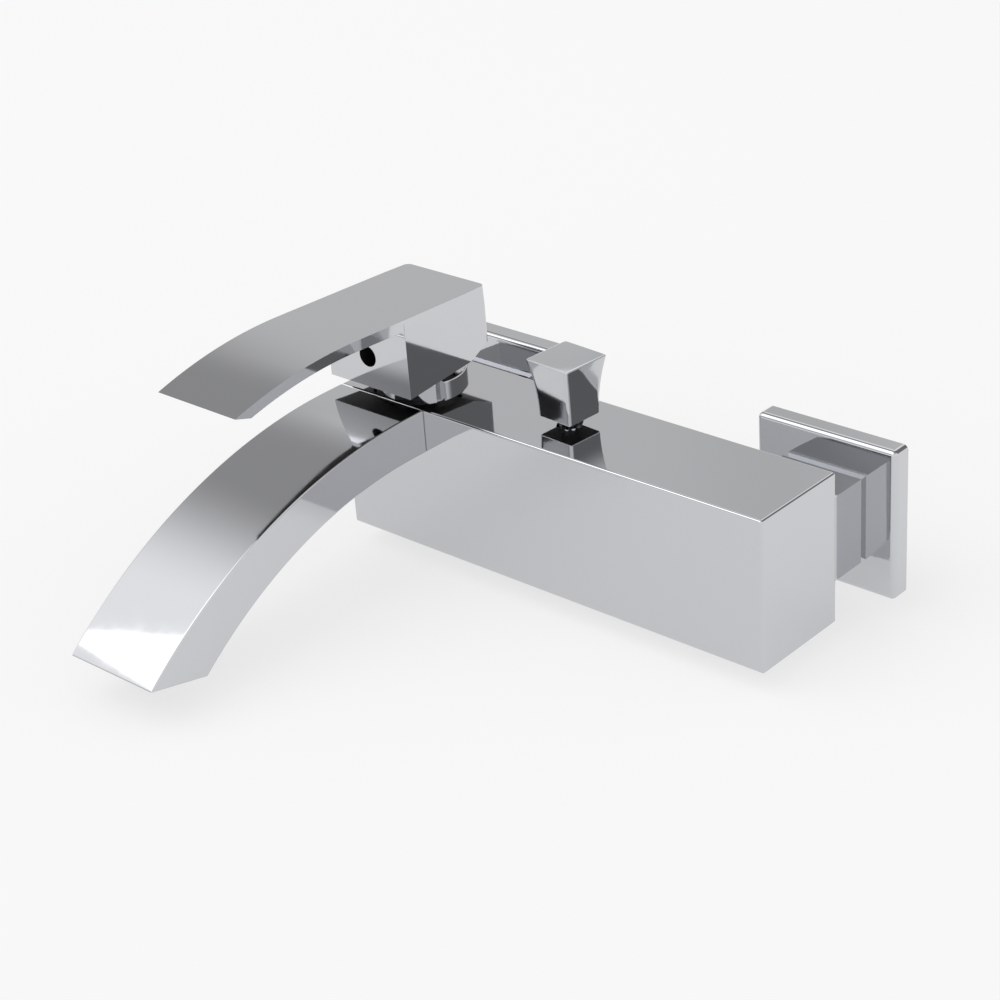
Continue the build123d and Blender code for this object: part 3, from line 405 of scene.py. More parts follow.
class Workpiece:
    """One mesh on the bench: begun as a primitive, shaped in edit mode, then finished.

    Its places and lengths are in millimetres, in the frame of the CAD.
    """

    def __init__(self, name: str) -> None:
        """Clears the bench for a new piece.

        Args:
            name: The name of the piece.
        """
        self.name = name
        self.thing: bpy.types.Object | None = None
        self.hold()

    def hold(self) -> None:
        """Leaves edit mode and selects this piece alone, or nothing before it is begun."""
        if bpy.context.mode != "OBJECT":
            bpy.ops.object.mode_set(mode="OBJECT")
        bpy.ops.object.select_all(action="DESELECT")
        if self.thing is not None:
            self.thing.select_set(True)
            bpy.context.view_layer.objects.active = self.thing

    def take(self) -> None:
        """Takes the object that was just added as this piece."""
        self.thing = bpy.context.object
        self.thing.name = self.name
        self.thing.data.name = self.name
        bpy.ops.object.transform_apply(location=True, rotation=True, scale=True)

    def cube(self, low: Point, high: Point) -> None:
        """Begins with a box between its lowest and its highest corner."""
        middle = [(a + b) / 2 * MM for a, b in zip(low, high)]
        bpy.ops.mesh.primitive_cube_add(size=1.0, location=middle)
        bpy.context.object.scale = [(b - a) * MM for a, b in zip(low, high)]
        self.take()

    def cylinder(self, radius: float, start: Point, end: Point, sides: int) -> None:
        """Begins with a round bar from one point to another.

        Args:
            radius: Its radius.
            start: The middle of its first end.
            end: The middle of its other end.
            sides: How many flat sides stand for the round.
        """
        way = Vector(end) - Vector(start)
        bpy.ops.mesh.primitive_cylinder_add(
            vertices=sides,
            radius=radius * MM,
            depth=way.length * MM,
            location=(Vector(start) + way / 2) * MM,
            rotation=way.to_track_quat("Z", "Y").to_euler(),
        )
        self.take()

    def copy(self, node: str) -> None:
        """Begins with a copy of a CAD piece, its loose triangles joined up.

        Args:
            node: The CAD node's name.
        """
        pattern = frame["nodes"][node]
        pattern.select_set(True)
        bpy.context.view_layer.objects.active = pattern
        bpy.ops.object.duplicate()
        bpy.ops.object.parent_clear(type="CLEAR_KEEP_TRANSFORM")
        self.take()
        self.pick(Pick.FACES, lambda middle, normal: True)
        bpy.ops.mesh.remove_doubles(threshold=SAME * MM)
        bpy.ops.mesh.customdata_custom_splitnormals_clear()

    def pick(self, what: Pick, test: Test) -> None:
        """Selects the points, edges or faces that pass a test.

        Args:
            what: What is selected.
            test: Says yes or no to a middle, in millimetres, and a direction. The direction is
                the normal of a point or face, and runs along an edge.
        """
        bpy.context.view_layer.objects.active = self.thing
        self.thing.select_set(True)
        if bpy.context.mode != "EDIT_MESH":
            bpy.ops.object.mode_set(mode="EDIT")
        bpy.ops.mesh.select_mode(type=what.value)
        bpy.ops.mesh.select_all(action="DESELECT")
        form = bmesh.from_edit_mesh(self.thing.data)
        form.normal_update()
        if what is Pick.POINTS:
            for point in form.verts:
                point.select_set(test(point.co / MM, point.normal))
        elif what is Pick.EDGES:
            for edge in form.edges:
                first, last = (point.co for point in edge.verts)
                edge.select_set(test((first + last) / 2 / MM, (last - first).normalized()))
        else:
            for face in form.faces:
                face.select_set(test(face.calc_center_median() / MM, face.normal))
        form.select_flush_mode()
        bmesh.update_edit_mesh(self.thing.data)

    def pick_sharp(self, angle: float) -> None:
        """Selects every edge whose two faces meet at more than an angle, in degrees."""
        self.pick(Pick.EDGES, lambda middle, way: False)
        form = bmesh.from_edit_mesh(self.thing.data)
        for edge in form.edges:
            edge.select_set(edge.calc_face_angle(0.0) > math.radians(angle))
        form.select_flush_mode()
        bmesh.update_edit_mesh(self.thing.data)

    def draw(self, was: list[Pair], now: list[Pair]) -> None:
        """Extrudes the selected end face, and moves its upper and lower edges to their new places.

        Args:
            was: The upper and the lower edge's old places in Y and Z.
            now: Their new places.
        """
        bpy.ops.mesh.extrude_region_move(TRANSFORM_OT_translate={"value": (0, 0, 0)})
        bpy.ops.mesh.select_mode(type="VERT")
        form = bmesh.from_edit_mesh(self.thing.data)
        end = [point for point in form.verts if point.select]
        level = sum(point.co.z for point in end) / len(end)
        upper = [point for point in end if point.co.z > level]
        lower = [point for point in end if point.co.z <= level]
        for half, old, new in zip((upper, lower), was, now):
            bpy.ops.mesh.select_all(action="DESELECT")
            for point in half:
                point.select_set(True)
            bmesh.update_edit_mesh(self.thing.data)
            self.move(y=new[0] - old[0], z=new[1] - old[1])
        for point in end:
            point.select_set(True)
        form.select_flush_mode()
        bmesh.update_edit_mesh(self.thing.data)
        bpy.ops.mesh.select_mode(type="FACE")

    def move(self, x: float = 0.0, y: float = 0.0, z: float = 0.0) -> None:
        """Moves what is selected."""
        bpy.ops.transform.translate(value=(x * MM, y * MM, z * MM))

    def scale(self, x: float, y: float, z: float, middle: Point) -> None:
        """Scales what is selected about a point.

        Args:
            x: The factor across.
            y: The factor towards the wall.
            z: The factor upwards.
            middle: The point that stays still.
        """
        still = [value * MM for value in middle]
        bpy.ops.transform.resize(value=(x, y, z), center_override=still)

    def cut(self, point: Point, normal: Point) -> None:
        """Cuts what is selected with a plane, and keeps both sides."""
        bpy.ops.mesh.bisect(plane_co=[value * MM for value in point], plane_no=normal)

    def inset(self, steps: Steps) -> None:
        """Insets the selected face again and again, so that it rises to a crown.

        Args:
            steps: Each inset's width and how far it rises.
        """
        for width, rise in steps:
            bpy.ops.mesh.inset(thickness=width * MM, depth=rise * MM)

    def bevel(self, width: float, segments: int, **settings: object) -> None:
        """Rounds the selected edges.

        Args:
            width: How far the round reaches from the edge.
            segments: How many flat strips stand for it.
            settings: The bevel's other settings by name.
        """
        bpy.ops.mesh.bevel(offset=width * MM, segments=segments, affect="EDGES", **settings)

    def apply(self, kind: str, **settings: object) -> None:
        """Adds a modifier and applies it.

        Args:
            kind: The modifier's type.
            settings: The modifier's settings by name.
        """
        self.hold()
        modifier = self.thing.modifiers.new(kind.lower(), kind)
        for name, value in settings.items():
            setattr(modifier, name, value)
        bpy.ops.object.modifier_apply(modifier=modifier.name)

    def subtract(self, tool: "Workpiece") -> None:
        """Cuts another piece's shape out of this one and throws the other away."""
        self.apply("BOOLEAN", operation="DIFFERENCE", solver="EXACT", object=tool.thing)
        bpy.data.objects.remove(tool.thing, do_unlink=True)

    def drill(self, radius: float, start: Point, end: Point, sides: int) -> None:
        """Cuts a round hole from one point to another.

        Args:
            radius: The hole's radius.
            start: The middle of its first end.
            end: The middle of its other end.
            sides: How many flat sides stand for the round.
        """
        tool = Workpiece("drill_tool")
        tool.cylinder(radius, start, end, sides)
        self.subtract(tool)

    def redress(self, finish: Finish, test: Test) -> None:
        """Gives the faces that pass a test a second finish, such as a dark one painted where shade
        falls.

        Args:
            finish: The second finish.
            test: Says yes or no to a face's middle and normal.
        """
        self.pick(Pick.FACES, test)
        bpy.ops.object.mode_set(mode="OBJECT")
        self.thing.data.materials.append(finish.material())
        for face in self.thing.data.polygons:
            face.material_index = 1 if face.select else 0

    def finish(
        self, node: str, slot: str, finish: Finish, smooth: float = 35.0
    ) -> bpy.types.Object:
        """Smooths the piece, dresses it and lets it stand for its CAD node.

        Args:
            node: The CAD node that it replaces.
            slot: Not used.
            finish: The finish it gets.
            smooth: Edges sharper than this many degrees stay sharp.

        Returns:
            The finished object.
        """
        self.hold()
        bpy.ops.object.shade_smooth_by_angle(angle=math.radians(smooth))
        self.apply("WEIGHTED_NORMAL", mode="FACE_AREA", weight=50, keep_sharp=True)
        self.thing.data.materials.clear()
        self.thing.data.materials.append(finish.material())
        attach(self.thing, body_of(frame["nodes"][node])[0])
        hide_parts(node)
        LOG.info("%s: %d faces, %s", self.name, len(self.thing.data.polygons), finish.name)
        return self.thing


@dataclass
class DressedPart:
    """A sub-assembly whose shapes are right as they come from the CAD."""

    name: str
    finishes: dict[str, Finish]

    def build(self) -> None:
        """Dresses each node of the sub-assembly."""
        LOG.info("sub-assembly %s", self.name)
        for node, finish in self.finishes.items():
            dress(node, finish)


@dataclass
class Spout:
    """The cast cascade spout: a straight root, then two arcs that part towards the cut end."""

    left: float = -95.0
    width: float = 41.5
    top: float = 28.75
    root_height: float = 16.7
    front: float = -72.0
    straight: float = 8.0
    top_radius: float = 196.5
    low_radius: float = 164.7
    reach: float = 137.4
    low_reach: float = 113.0
    wall: float = 2.4
    root_solid: float = 12.0
    steps: int = 36
    sharp: float = 60.0
    edge_round: float = 0.7
    edge_profile: float = 0.6
    # How far the hollow runs on past the cut end, and the tool for the root past the root.
    mouth_spare: float = 4.0
    block_spare: float = 5.0
    block_floor: float = -40.0
    # The waterway and the two screws: each hole's radius, place across, height and depth.
    holes: tuple[tuple[float, float, float, float], ...] = (
        (2.2, -58.5, 20.4, 14.0), (2.0, -82.0, 16.65, 8.0), (2.0, -68.0, 16.65, 8.0),
    )
    hole_sides: int = 32
    drill_spare: float = 1.0

    def body(self, name: str, shrink: float, root: float, extra: float) -> Workpiece:
        """Draws the spout's form out of a short box, step by step along its two arcs.

        Args:
            name: The piece's name.
            shrink: How far the form lies inside the skin.
            root: How far the form begins in front of the body.
            extra: How far it runs on past the cut end.

        Returns:
            The form.
        """
        start = self.front - self.straight
        top, low = self.top - shrink, self.top - self.root_height + shrink
        # The box keeps some length to draw from, also where the form begins far in front.
        back = max(self.front - root, start + 1)
        piece = Workpiece(name)
        piece.cube((self.left + shrink, start, low), (self.left + self.width - shrink, back, top))
        arcs = []
        for whole, radius, reach, level in (
            (self.top_radius, self.top_radius - shrink, self.reach, top),
            (self.low_radius, self.low_radius + shrink, self.low_reach, low),
        ):
            turn = math.asin((reach - self.straight) / whole) + extra / radius
            arcs.append((radius, turn, level))
        was = [(start, top), (start, low)]
        piece.pick(Pick.FACES, lambda middle, normal: normal.y < -ALONG)
        for step in range(1, self.steps + 1):
            now = []
            for radius, turn, level in arcs:
                angle = turn * step / self.steps
                fall = radius * (1 - math.cos(angle))
                now.append((start - radius * math.sin(angle), level - fall))
            piece.draw(was, now)
            was = now
        return piece

    def build(self) -> None:
        """Models the spout and dresses it."""
        piece = self.body("cascade_spout", 0.0, 0.0, 0.0)
        piece.pick_sharp(self.sharp)
        piece.bevel(self.edge_round, 4, profile=self.edge_profile)
        hollow = self.body("hollow_tool", self.wall, self.root_solid, self.mouth_spare)
        block = Workpiece("root_tool")
        block.cube(
            (self.left, self.front - self.root_solid, self.block_floor),
            (self.left + self.width, self.front + self.block_spare, self.top + self.block_spare),
        )
        hollow.subtract(block)
        piece.subtract(hollow)
        for radius, x, z, depth in self.holes:
            start, end = (x, self.front + self.drill_spare, z), (x, self.front - depth, z)
            piece.drill(radius, start, end, self.hole_sides)
        piece.finish("spout", "chrome_spout", CHROME)


@dataclass
class Handle:
    """The cast lever handle: a block with a heel and a blade that arcs down, polished soft."""

    axis: Pair = (-75.0, -51.0)
    base: float = 28.75
    half_width: float = 20.0
    tip_half_width: float = 19.3
    front: float = 25.2
    back: float = 18.2
    front_gap: float = 5.3
    heel: float = 7.3
    heel_gap: float = 8.0
    back_gap: float = 13.1
    back_top: float = 34.28
    rise: float = 2.2
    straight: float = 49.0
    radius: float = 180.0
    turn: float = 18.32
    thickness: float = 4.0
    under_turn: float = 16.35
    steps: int = 18
    root_round: float = 3.0
    corner_round: float = 2.4
    round_segments: int = 6
    edge_round: float = 1.0
    edge_profile: float = 0.55
    edge_angle: float = 38.0
    cavity_radius: float = 15.4
    cavity_top: float = 12.6
    socket_side: float = 8.1
    socket_top: float = 25.9
    hole_radius: float = 4.05
    hole_rise: float = 17.45
    hole_depth: float = 11.9
    drill_spare: float = 2.0
    # Where the sides begin to fall away: the place in depth and height from the top back corner,
    # the way it leans, and then how far each step reaches and falls.
    soft_top_start: Pair = (0.0, -4.9)
    soft_top_turn: float = 4.6
    soft_top: Steps = ((0.0, 0.05), (0.9, 0.07), (1.9, 0.09), (2.9, 0.11))
    soft_corner_start: Pair = (-2.0, -7.5)
    soft_corner_turn: float = 38.0
    soft_corner: Steps = ((0.0, 0.05), (1.0, 0.07), (2.0, 0.08), (3.0, 0.09))
    side_share: float = 0.8
    past_cut: float = 0.01
    # Where the blade's underside counts as such, and how near a hole's wall a face has to lie.
    blade_under: float = 0.75
    blade_start: float = 0.5
    cavity_reach: float = 0.2
    wall_lean: float = 0.5

    @property
    def face(self) -> float:
        """The block's front, as a place in depth."""
        return self.axis[1] - self.front

    @property
    def rear(self) -> float:
        """The block's back, as a place in depth."""
        return self.axis[1] + self.back

    @property
    def root(self) -> float:
        """The height of the blade's underside where it leaves the block."""
        return self.top_at(self.face) - self.thickness / math.cos(math.radians(self.rise))

    def top_at(self, y: float) -> float:
        """Returns the height of the top's straight part at a place in depth."""
        slope = math.tan(math.radians(self.rise))
        return self.base + self.back_top + (self.rear - y) * slope

    def arc(self, radius: float, angle: float, start: Pair) -> Pair:
        """Returns the point in Y and Z that the blade's arc has reached.

        Args:
            radius: The arc's radius.
            angle: How far the arc has turned, in degrees.
            start: Where the arc begins.

        Returns:
            The point's Y and Z.
        """
        rise = math.radians(self.rise)
        turned = math.radians(angle) - rise
        return (
            start[0] - radius * (math.sin(turned) + math.sin(rise)),
            start[1] + radius * (math.cos(turned) - math.cos(rise)),
        )

    def block(self) -> Workpiece:
        """Models the block: a box, cut at the heel, with its underside and top set to their slopes.

        Returns:
            The block, with the root of the blade marked off on its front.
        """
        x, y = self.axis
        heel = y + self.heel
        low, top = self.base + self.front_gap, self.top_at(self.rear)
        middle_height = (low + top) / 2
        piece = Workpiece("lever_handle")
        piece.cube((x - self.half_width, self.face, low), (x + self.half_width, self.rear, top))
        piece.pick(Pick.FACES, lambda middle, normal: True)
        piece.cut((x, heel, 0.0), (0.0, 1.0, 0.0))
        for place, gap in ((heel, self.heel_gap), (self.rear, self.back_gap)):
            piece.pick(
                Pick.POINTS,
                lambda point, normal: near(point.y, place) and point.z < middle_height,
            )
            piece.move(z=gap - self.front_gap)
        for place in (heel, self.face):
            piece.pick(
                Pick.POINTS,
                lambda point, normal: near(point.y, place) and point.z > middle_height,
            )
            piece.move(z=self.top_at(place) - top)
        piece.pick(Pick.FACES, lambda middle, normal: normal.y < -ALONG)
        piece.cut((x, self.face, self.root), (0.0, 0.0, 1.0))
        return piece

    def blade(self, piece: Workpiece) -> None:
        """Draws the blade out of the block's front, step by step along its arc.

        Args:
            piece: The block.
        """
        x, y = self.axis
        rise = math.radians(self.rise)
        root = self.root
        start = (y - self.straight, self.top_at(y - self.straight))
        under = (
            start[0] - math.sin(rise) * self.thickness, start[1] - math.cos(rise) * self.thickness
        )
        length = self.rear - self.arc(self.radius, self.turn, start)[0]
        was = [(self.face, self.top_at(self.face)), (self.face, root)]
        width = self.half_width
        piece.pick(Pick.FACES, lambda middle, normal: normal.y < -ALONG and middle.z > root)
        for step in range(self.steps + 1):
            share = step / self.steps
            now = [
                self.arc(self.radius, self.turn * share, start),
                self.arc(self.radius - self.thickness, self.under_turn * share, under),
            ]
            piece.draw(was, now)
            y_now, z_now = now[0]
            taper = (self.half_width - self.tip_half_width) * (self.rear - y_now) / length
            wide = self.half_width - taper
            piece.scale(wide / width, 1.0, 1.0, (x, y_now, z_now))
            was, width = now, wide

    def soften(self, piece: Workpiece) -> None:
        """Lets the block's two sides fall away to their top edge and their top back corner.

        Args:
            piece: The handle.
        """
        x, face = self.axis[0], self.face
        corner = (self.rear, self.top_at(self.rear))
        side_at = self.half_width * self.side_share
        for turn, steps, start in (
            (self.soft_top_turn, self.soft_top, self.soft_top_start),
            (self.soft_corner_turn, self.soft_corner, self.soft_corner_start),
        ):
            way = Vector((0.0, math.sin(math.radians(turn)), math.cos(math.radians(turn))))
            first = Vector((x, corner[0] + start[0], corner[1] + start[1]))
            for side in (-1, 1):
                for reach, _ in steps:
                    place = first + way * reach
                    piece.pick(
                        Pick.FACES,
                        lambda middle, normal: normal.x * side > ALONG and middle.y > face,
                    )
                    piece.cut(tuple(place), tuple(way))
                for reach, fall in steps:
                    place = first + way * reach
                    piece.pick(
                        Pick.POINTS,
                        lambda point, normal: (point - place).dot(way) > self.past_cut
                        and (point.x - x) * side > side_at
                        and point.y > face - NEAR,
                    )
                    piece.move(x=-side * fall)

    def bare(self, middle: Vector, normal: Vector) -> bool:
        """Says whether a face gets the dark finish: painted shade under the block and the blade,
        and the hidden cavity and hole darkened too.

        Args:
            middle: The face's middle.
            normal: The face's normal.

        Returns:
            True under the block and the blade, inside the cavity and on the hole's wall.
        """
        x, y = self.axis
        under_block = middle.z < self.base + self.back_gap + 1 and middle.y < y + self.heel
        under_blade = middle.y < self.face - self.blade_start
        from_axis = math.hypot(middle.x - x, middle.y - y)
        from_hole = math.hypot(middle.x - x, middle.z - self.base - self.hole_rise)
        in_cavity = middle.z < self.base + self.socket_top + NEAR
        in_hole = middle.y > self.face - self.past_cut and abs(normal.y) < self.wall_lean
        return (
            (normal.z < -ALONG and under_block)
            or (normal.z < -self.blade_under and under_blade)
            or (from_axis < self.cavity_radius + self.cavity_reach and in_cavity)
            or (from_hole < self.hole_radius + NEAR and in_hole)
        )

    def build(self) -> None:
        """Models the handle and dresses it."""
        x, y = self.axis
        face, rear, root = self.face, self.rear, self.root
        piece = self.block()
        self.blade(piece)
        piece.pick(
            Pick.EDGES,
            lambda middle, way: abs(way.x) > ALONG
            and near(middle.y, face)
            and near(middle.z, root),
        )
        piece.bevel(self.root_round, self.round_segments)
        piece.pick(Pick.EDGES, lambda middle, way: abs(way.z) > ALONG and near(middle.y, rear))
        piece.bevel(self.corner_round, self.round_segments)
        self.soften(piece)
        piece.apply(
            "BEVEL", width=self.edge_round * MM, segments=4, profile=self.edge_profile,
            limit_method="ANGLE", angle_limit=math.radians(self.edge_angle),
            use_clamp_overlap=True, harden_normals=False,
        )
        roof = self.base + self.cavity_top
        piece.drill(self.cavity_radius, (x, y, self.base), (x, y, roof), 96)
        socket = Workpiece("socket_tool")
        reach = self.socket_side / 2
        socket.cube(
            (x - reach, y - reach, self.base), (x + reach, y + reach, self.base + self.socket_top)
        )
        piece.subtract(socket)
        level = self.base + self.hole_rise
        piece.drill(
            self.hole_radius, (x, face - self.drill_spare, level),
            (x, face + self.hole_depth, level), 48,
        )
        piece.finish("handle", "chrome_handle", CHROME)
        # The dark second finish under the block and the blade is painted shade.
        piece.redress(PAINTED_SHADE, self.bare)


@dataclass
class Knob:
    """The diverter's square flared knob: hollow sides, a domed top and soft polished faces."""

    axis: Pair = (-2.5, -51.0)
    bottom: float = 32.34
    height: float = 22.5
    foot: float = 15.0
    head: float = 20.0
    hollow: float = 0.57
    levels: int = 8
    turn: float = -3.9
    dome: Steps = ((1.0, 0.09), (1.6, 0.13), (2.0, 0.12), (2.2, 0.08))
    # From this share of the foot's width, an edge that leans up by the cosine is a corner's.
    corner_share: float = 0.35
    corner_lean: float = 0.5
    edge_width: float = 2.6
    edge_profile: float = 0.86
    rim_round: float = 0.35
    bore_radius: float = 3.0
    bore_depth: float = 13.0
    drill_spare: float = 1.0

    def half(self, share: float) -> float:
        """Returns half the knob's width at a share of its height."""
        flared = self.foot + (self.head - self.foot) * share
        return flared / 2 - 4 * self.hollow * share * (1 - share)

    def bare(self, middle: Vector, normal: Vector) -> bool:
        """Says whether a face gets the dark finish: painted shade underneath, and the bore darkened
        too.

        Args:
            middle: The face's middle.
            normal: The face's normal.

        Returns:
            True underneath and in the bore.
        """
        from_axis = math.hypot(middle.x - self.axis[0], middle.y - self.axis[1])
        bore_top = self.bottom + self.bore_depth
        in_bore = from_axis < self.bore_radius + NEAR and middle.z < bore_top + NEAR
        return normal.z < -ALONG or in_bore

    def build(self) -> None:
        """Models the knob and dresses it."""
        x, y = self.axis
        wall = self.height - sum(rise for _, rise in self.dome)
        half = self.foot / 2
        corner = self.corner_share * self.foot
        piece = Workpiece("diverter_knob")
        piece.cube((x - half, y - half, self.bottom), (x + half, y + half, self.bottom + wall))
        for level in range(1, self.levels):
            piece.pick(Pick.FACES, lambda middle, normal: True)
            piece.cut((x, y, self.bottom + wall * level / self.levels), (0.0, 0.0, 1.0))
        for level in range(1, self.levels + 1):
            height = self.bottom + wall * level / self.levels
            piece.pick(Pick.POINTS, lambda point, normal: near(point.z, height))
            factor = self.half(level / self.levels) / half
            piece.scale(factor, factor, 1.0, (x, y, height))
        piece.pick(Pick.FACES, lambda middle, normal: normal.z > SQUARE)
        piece.inset(self.dome)
        piece.pick(
            Pick.EDGES,
            lambda middle, way: abs(way.z) > self.corner_lean
            and abs(middle.x - x) > corner
            and abs(middle.y - y) > corner,
        )
        piece.bevel(self.edge_width, 8, profile=self.edge_profile, clamp_overlap=True)
        for rim in (self.bottom, self.bottom + wall):
            piece.pick(Pick.EDGES, lambda middle, way: abs(middle.z - rim) < SAME)
            piece.bevel(self.rim_round, 3, clamp_overlap=True)
        piece.pick(Pick.FACES, lambda middle, normal: True)
        # Without a window, transform.rotate turns the other way.
        bpy.ops.transform.rotate(
            value=math.radians(-self.turn), orient_axis="Z",
            center_override=(x * MM, y * MM, self.bottom * MM),
        )
        start = (x, y, self.bottom - self.drill_spare)
        piece.drill(self.bore_radius, start, (x, y, self.bottom + self.bore_depth), 48)
        piece.finish("knob", "chrome_knob", CHROME)
        # The dark second finish under the knob is painted shade.
        piece.redress(PAINTED_SHADE, self.bare)


@dataclass
class Flange:
    """A square wall flange: a pressed shell with a crowned face and a hole for the nut."""

    side: str
    middle: float
    width: float = 57.5
    depth: float = 8.0
    wall: float = 1.8
    crown: Steps = ((2.4, 0.2), (2.4, 0.16), (3.0, 0.12), (3.4, 0.05))
    edge_round: float = 2.0
    hole_radius: float = 13.52
    drill_spare: float = 2.0

    def build(self) -> None:
        """Models the flange and dresses it."""
        x, half = self.middle, self.width / 2
        face = -(self.depth - sum(rise for _, rise in self.crown))
        piece = Workpiece(self.side + "_flange_shell")
        piece.cube((x - half, face, -half), (x + half, 0.0, half))
        # The shell is hollowed from the wall's side, then its face is crowned.
        piece.pick(Pick.FACES, lambda middle, normal: normal.y > ALONG)
        piece.inset(((self.wall, 0.0),))
        inwards = (0, (face + self.wall) * MM, 0)
        bpy.ops.mesh.extrude_region_move(TRANSFORM_OT_translate={"value": inwards})
        piece.pick(Pick.FACES, lambda middle, normal: normal.y < -SQUARE)
        piece.inset(self.crown)
        piece.pick(
            Pick.EDGES,
            lambda middle, way: abs(middle.y - face) < SAME
            or (abs(way.y) > SQUARE and abs(abs(middle.x - x) - half) < NEAR),
        )
        piece.bevel(self.edge_round, 6)
        start = (x, -self.depth - self.drill_spare, 0.0)
        piece.drill(self.hole_radius, start, (x, self.drill_spare, 0.0), 96)
        piece.finish(self.side + "_wall_flange", "chrome_flanges", CHROME)


@dataclass
class ReturnSpring:
    """The diverter's return spring, which the poppet presses together as the knob is pulled."""

    axis: Pair = (-2.5, -51.0)
    ceiling: float = 19.25
    travel: float = 8.0
    smooth: float = 60.0

    def build(self) -> None:
        """Dresses a copy of the coil and gives it a mesh of its own."""
        coil = Workpiece("return_spring_coil")
        coil.copy("diverter_spring")
        spring = coil.finish("diverter_spring", "steel_inside", STEEL, self.smooth)
        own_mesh(spring)


@dataclass
class ThreadedPiece:
    """A CAD piece with its plain thread cut into a real one, by V grooves that wind along it."""

    node: str
    slot: str
    material: Finish
    start: Point
    end: Point
    radius: float = 10.48
    pitch: float = 1.814
    depth: float = 1.1
    crest: float = 0.16
    sides: int = 24
    splits: int = 12
    split_passes: int = 2
    spare: float = 1.5
    end_gap: float = 0.05
    sleeve_sides: int = 64
    smooth: float = 30.0

    def screw(self) -> Workpiece:
        """Models the thread's solid core: a cam-shaped bar, twisted once for every pitch.

        Returns:
            The core, from the thread's start to its end.
        """
        way = Vector(self.end) - Vector(self.start)
        line = way.normalized()
        core = Workpiece("screw_tool")
        core.cylinder(self.radius, (0.0, 0.0, 0.0), tuple(way), self.sides)
        across = [index for index in range(3) if abs(way[index]) < NEAR]
        for side in range(self.sides):
            turned = abs(side / self.sides - 0.5) * 2
            sunk = self.depth * (1 - min(1.0, turned / (1 - self.crest)))
            angle = 2 * math.pi * side / self.sides

            def on_side(point: Vector, normal: Vector) -> bool:
                """Says whether a point lies on this side's edge of the bar."""
                bearing = math.atan2(point[across[1]], point[across[0]])
                off = math.remainder(bearing - angle, 2 * math.pi)
                return abs(off) < math.pi / self.sides

            core.pick(Pick.POINTS, on_side)
            factor = [1.0, 1.0, 1.0]
            for index in across:
                factor[index] = 1 - sunk / self.radius
            core.scale(*factor, (0.0, 0.0, 0.0))
        # The twist needs many rings along the bar, so its edges are split, and split again.
        for _ in range(self.split_passes):
            core.pick(Pick.EDGES, lambda middle, edge: abs(edge.dot(line)) > ALONG)
            bpy.ops.mesh.subdivide(number_cuts=self.splits)
        core.apply(
            "SIMPLE_DEFORM", deform_method="TWIST", deform_axis="XYZ"[3 - sum(across)],
            angle=2 * math.pi * way.length / self.pitch,
        )
        core.pick(Pick.POINTS, lambda point, normal: True)
        core.move(*self.start)
        return core

    def build(self) -> None:
        """Cuts the thread and dresses the piece."""
        first, last = Vector(self.start), Vector(self.end)
        # The sleeve ends just inside the core, so that no two faces lie in one plane.
        inset = (last - first).normalized() * self.end_gap
        sleeve = Workpiece("sleeve_tool")
        sleeve.cylinder(
            self.radius + self.spare, tuple(first + inset), tuple(last - inset), self.sleeve_sides
        )
        sleeve.subtract(self.screw())
        piece = Workpiece("threaded_" + self.node)
        piece.copy(self.node)
        piece.subtract(sleeve)
        piece.finish(self.node, self.slot, self.material, self.smooth)


@dataclass(frozen=True)
class Card:
    """A grey wall, silk or softbox of the studio, high above the pale horizon.

    Bearings run anticlockwise in degrees from 60 degrees right of straight in front, and
    heights are degrees above the horizon. Each edge is a pair: where the card has no effect
    and where it has all of it.
    """

    name: str
    tone: float
    right: Pair | None = None
    left: Pair | None = None
    low: Pair | None = None
    high: Pair | None = None

    def lay(self, tree: Tree, bearing: Socket, height: Socket, behind: Socket) -> Socket:
        """Lays the card over what is behind it.

        Args:
            tree: The world's tree.
            bearing: The direction's bearing in degrees.
            height: The direction's height in degrees.
            behind: The tone behind the card.

        Returns:
            The tone with the card laid over it.
        """
        cover = None
        sides, levels = (self.right, self.left), (self.low, self.high)
        edges = [(edge, bearing) for edge in sides] + [(edge, height) for edge in levels]
        for edge, angle in edges:
            if edge is None:
                continue
            ramp = add_node(
                tree, "ShaderNodeMapRange",
                {"interpolation_type": "SMOOTHSTEP", "From Min": edge[0], "From Max": edge[1]},
                {"Value": angle},
            )
            reach = ramp.outputs["Result"]
            if cover is not None:
                both = add_node(
                    tree, "ShaderNodeMath", {"operation": "MULTIPLY"}, {0: cover, 1: reach}
                )
                reach = both.outputs[0]
            cover = reach
        mix = add_node(
            tree, "ShaderNodeMix", {"data_type": "FLOAT", 3: self.tone}, {0: cover, 2: behind}
        )
        mix.label = self.name
        return mix.outputs[0]


# The main camera looks below all of these, but the chrome mirrors them. A tone of 1 is white.
CARDS = (
    Card("zenith silk", 0.6, low=(38.0, 62.0)),
    Card("right upper wall", 0.22, right=(78.0, 95.0), left=(185.0, 165.0), low=(12.0, 22.0)),
    Card("back left wall", 0.38, right=(176.0, 190.0), left=(262.0, 250.0), low=(12.0, 20.0)),
    Card("front left wall", 0.42, right=(250.0, 262.0), left=(306.0, 292.0), low=(12.0, 20.0)),
    Card(
        "back grey silk", 0.66,
        right=(179.0, 190.0), left=(214.0, 198.0), low=(10.0, 18.0), high=(39.0, 31.0),
    ),
    Card(
        "overhead softbox", 1.2,
        right=(150.0, 170.0), left=(203.0, 196.0), low=(29.0, 34.0), high=(62.0, 50.0),
    ),
    Card(
        "left window", 1.2,
        right=(222.0, 256.0), left=(288.0, 268.0), low=(12.0, 18.0), high=(66.0, 52.0),
    ),
)


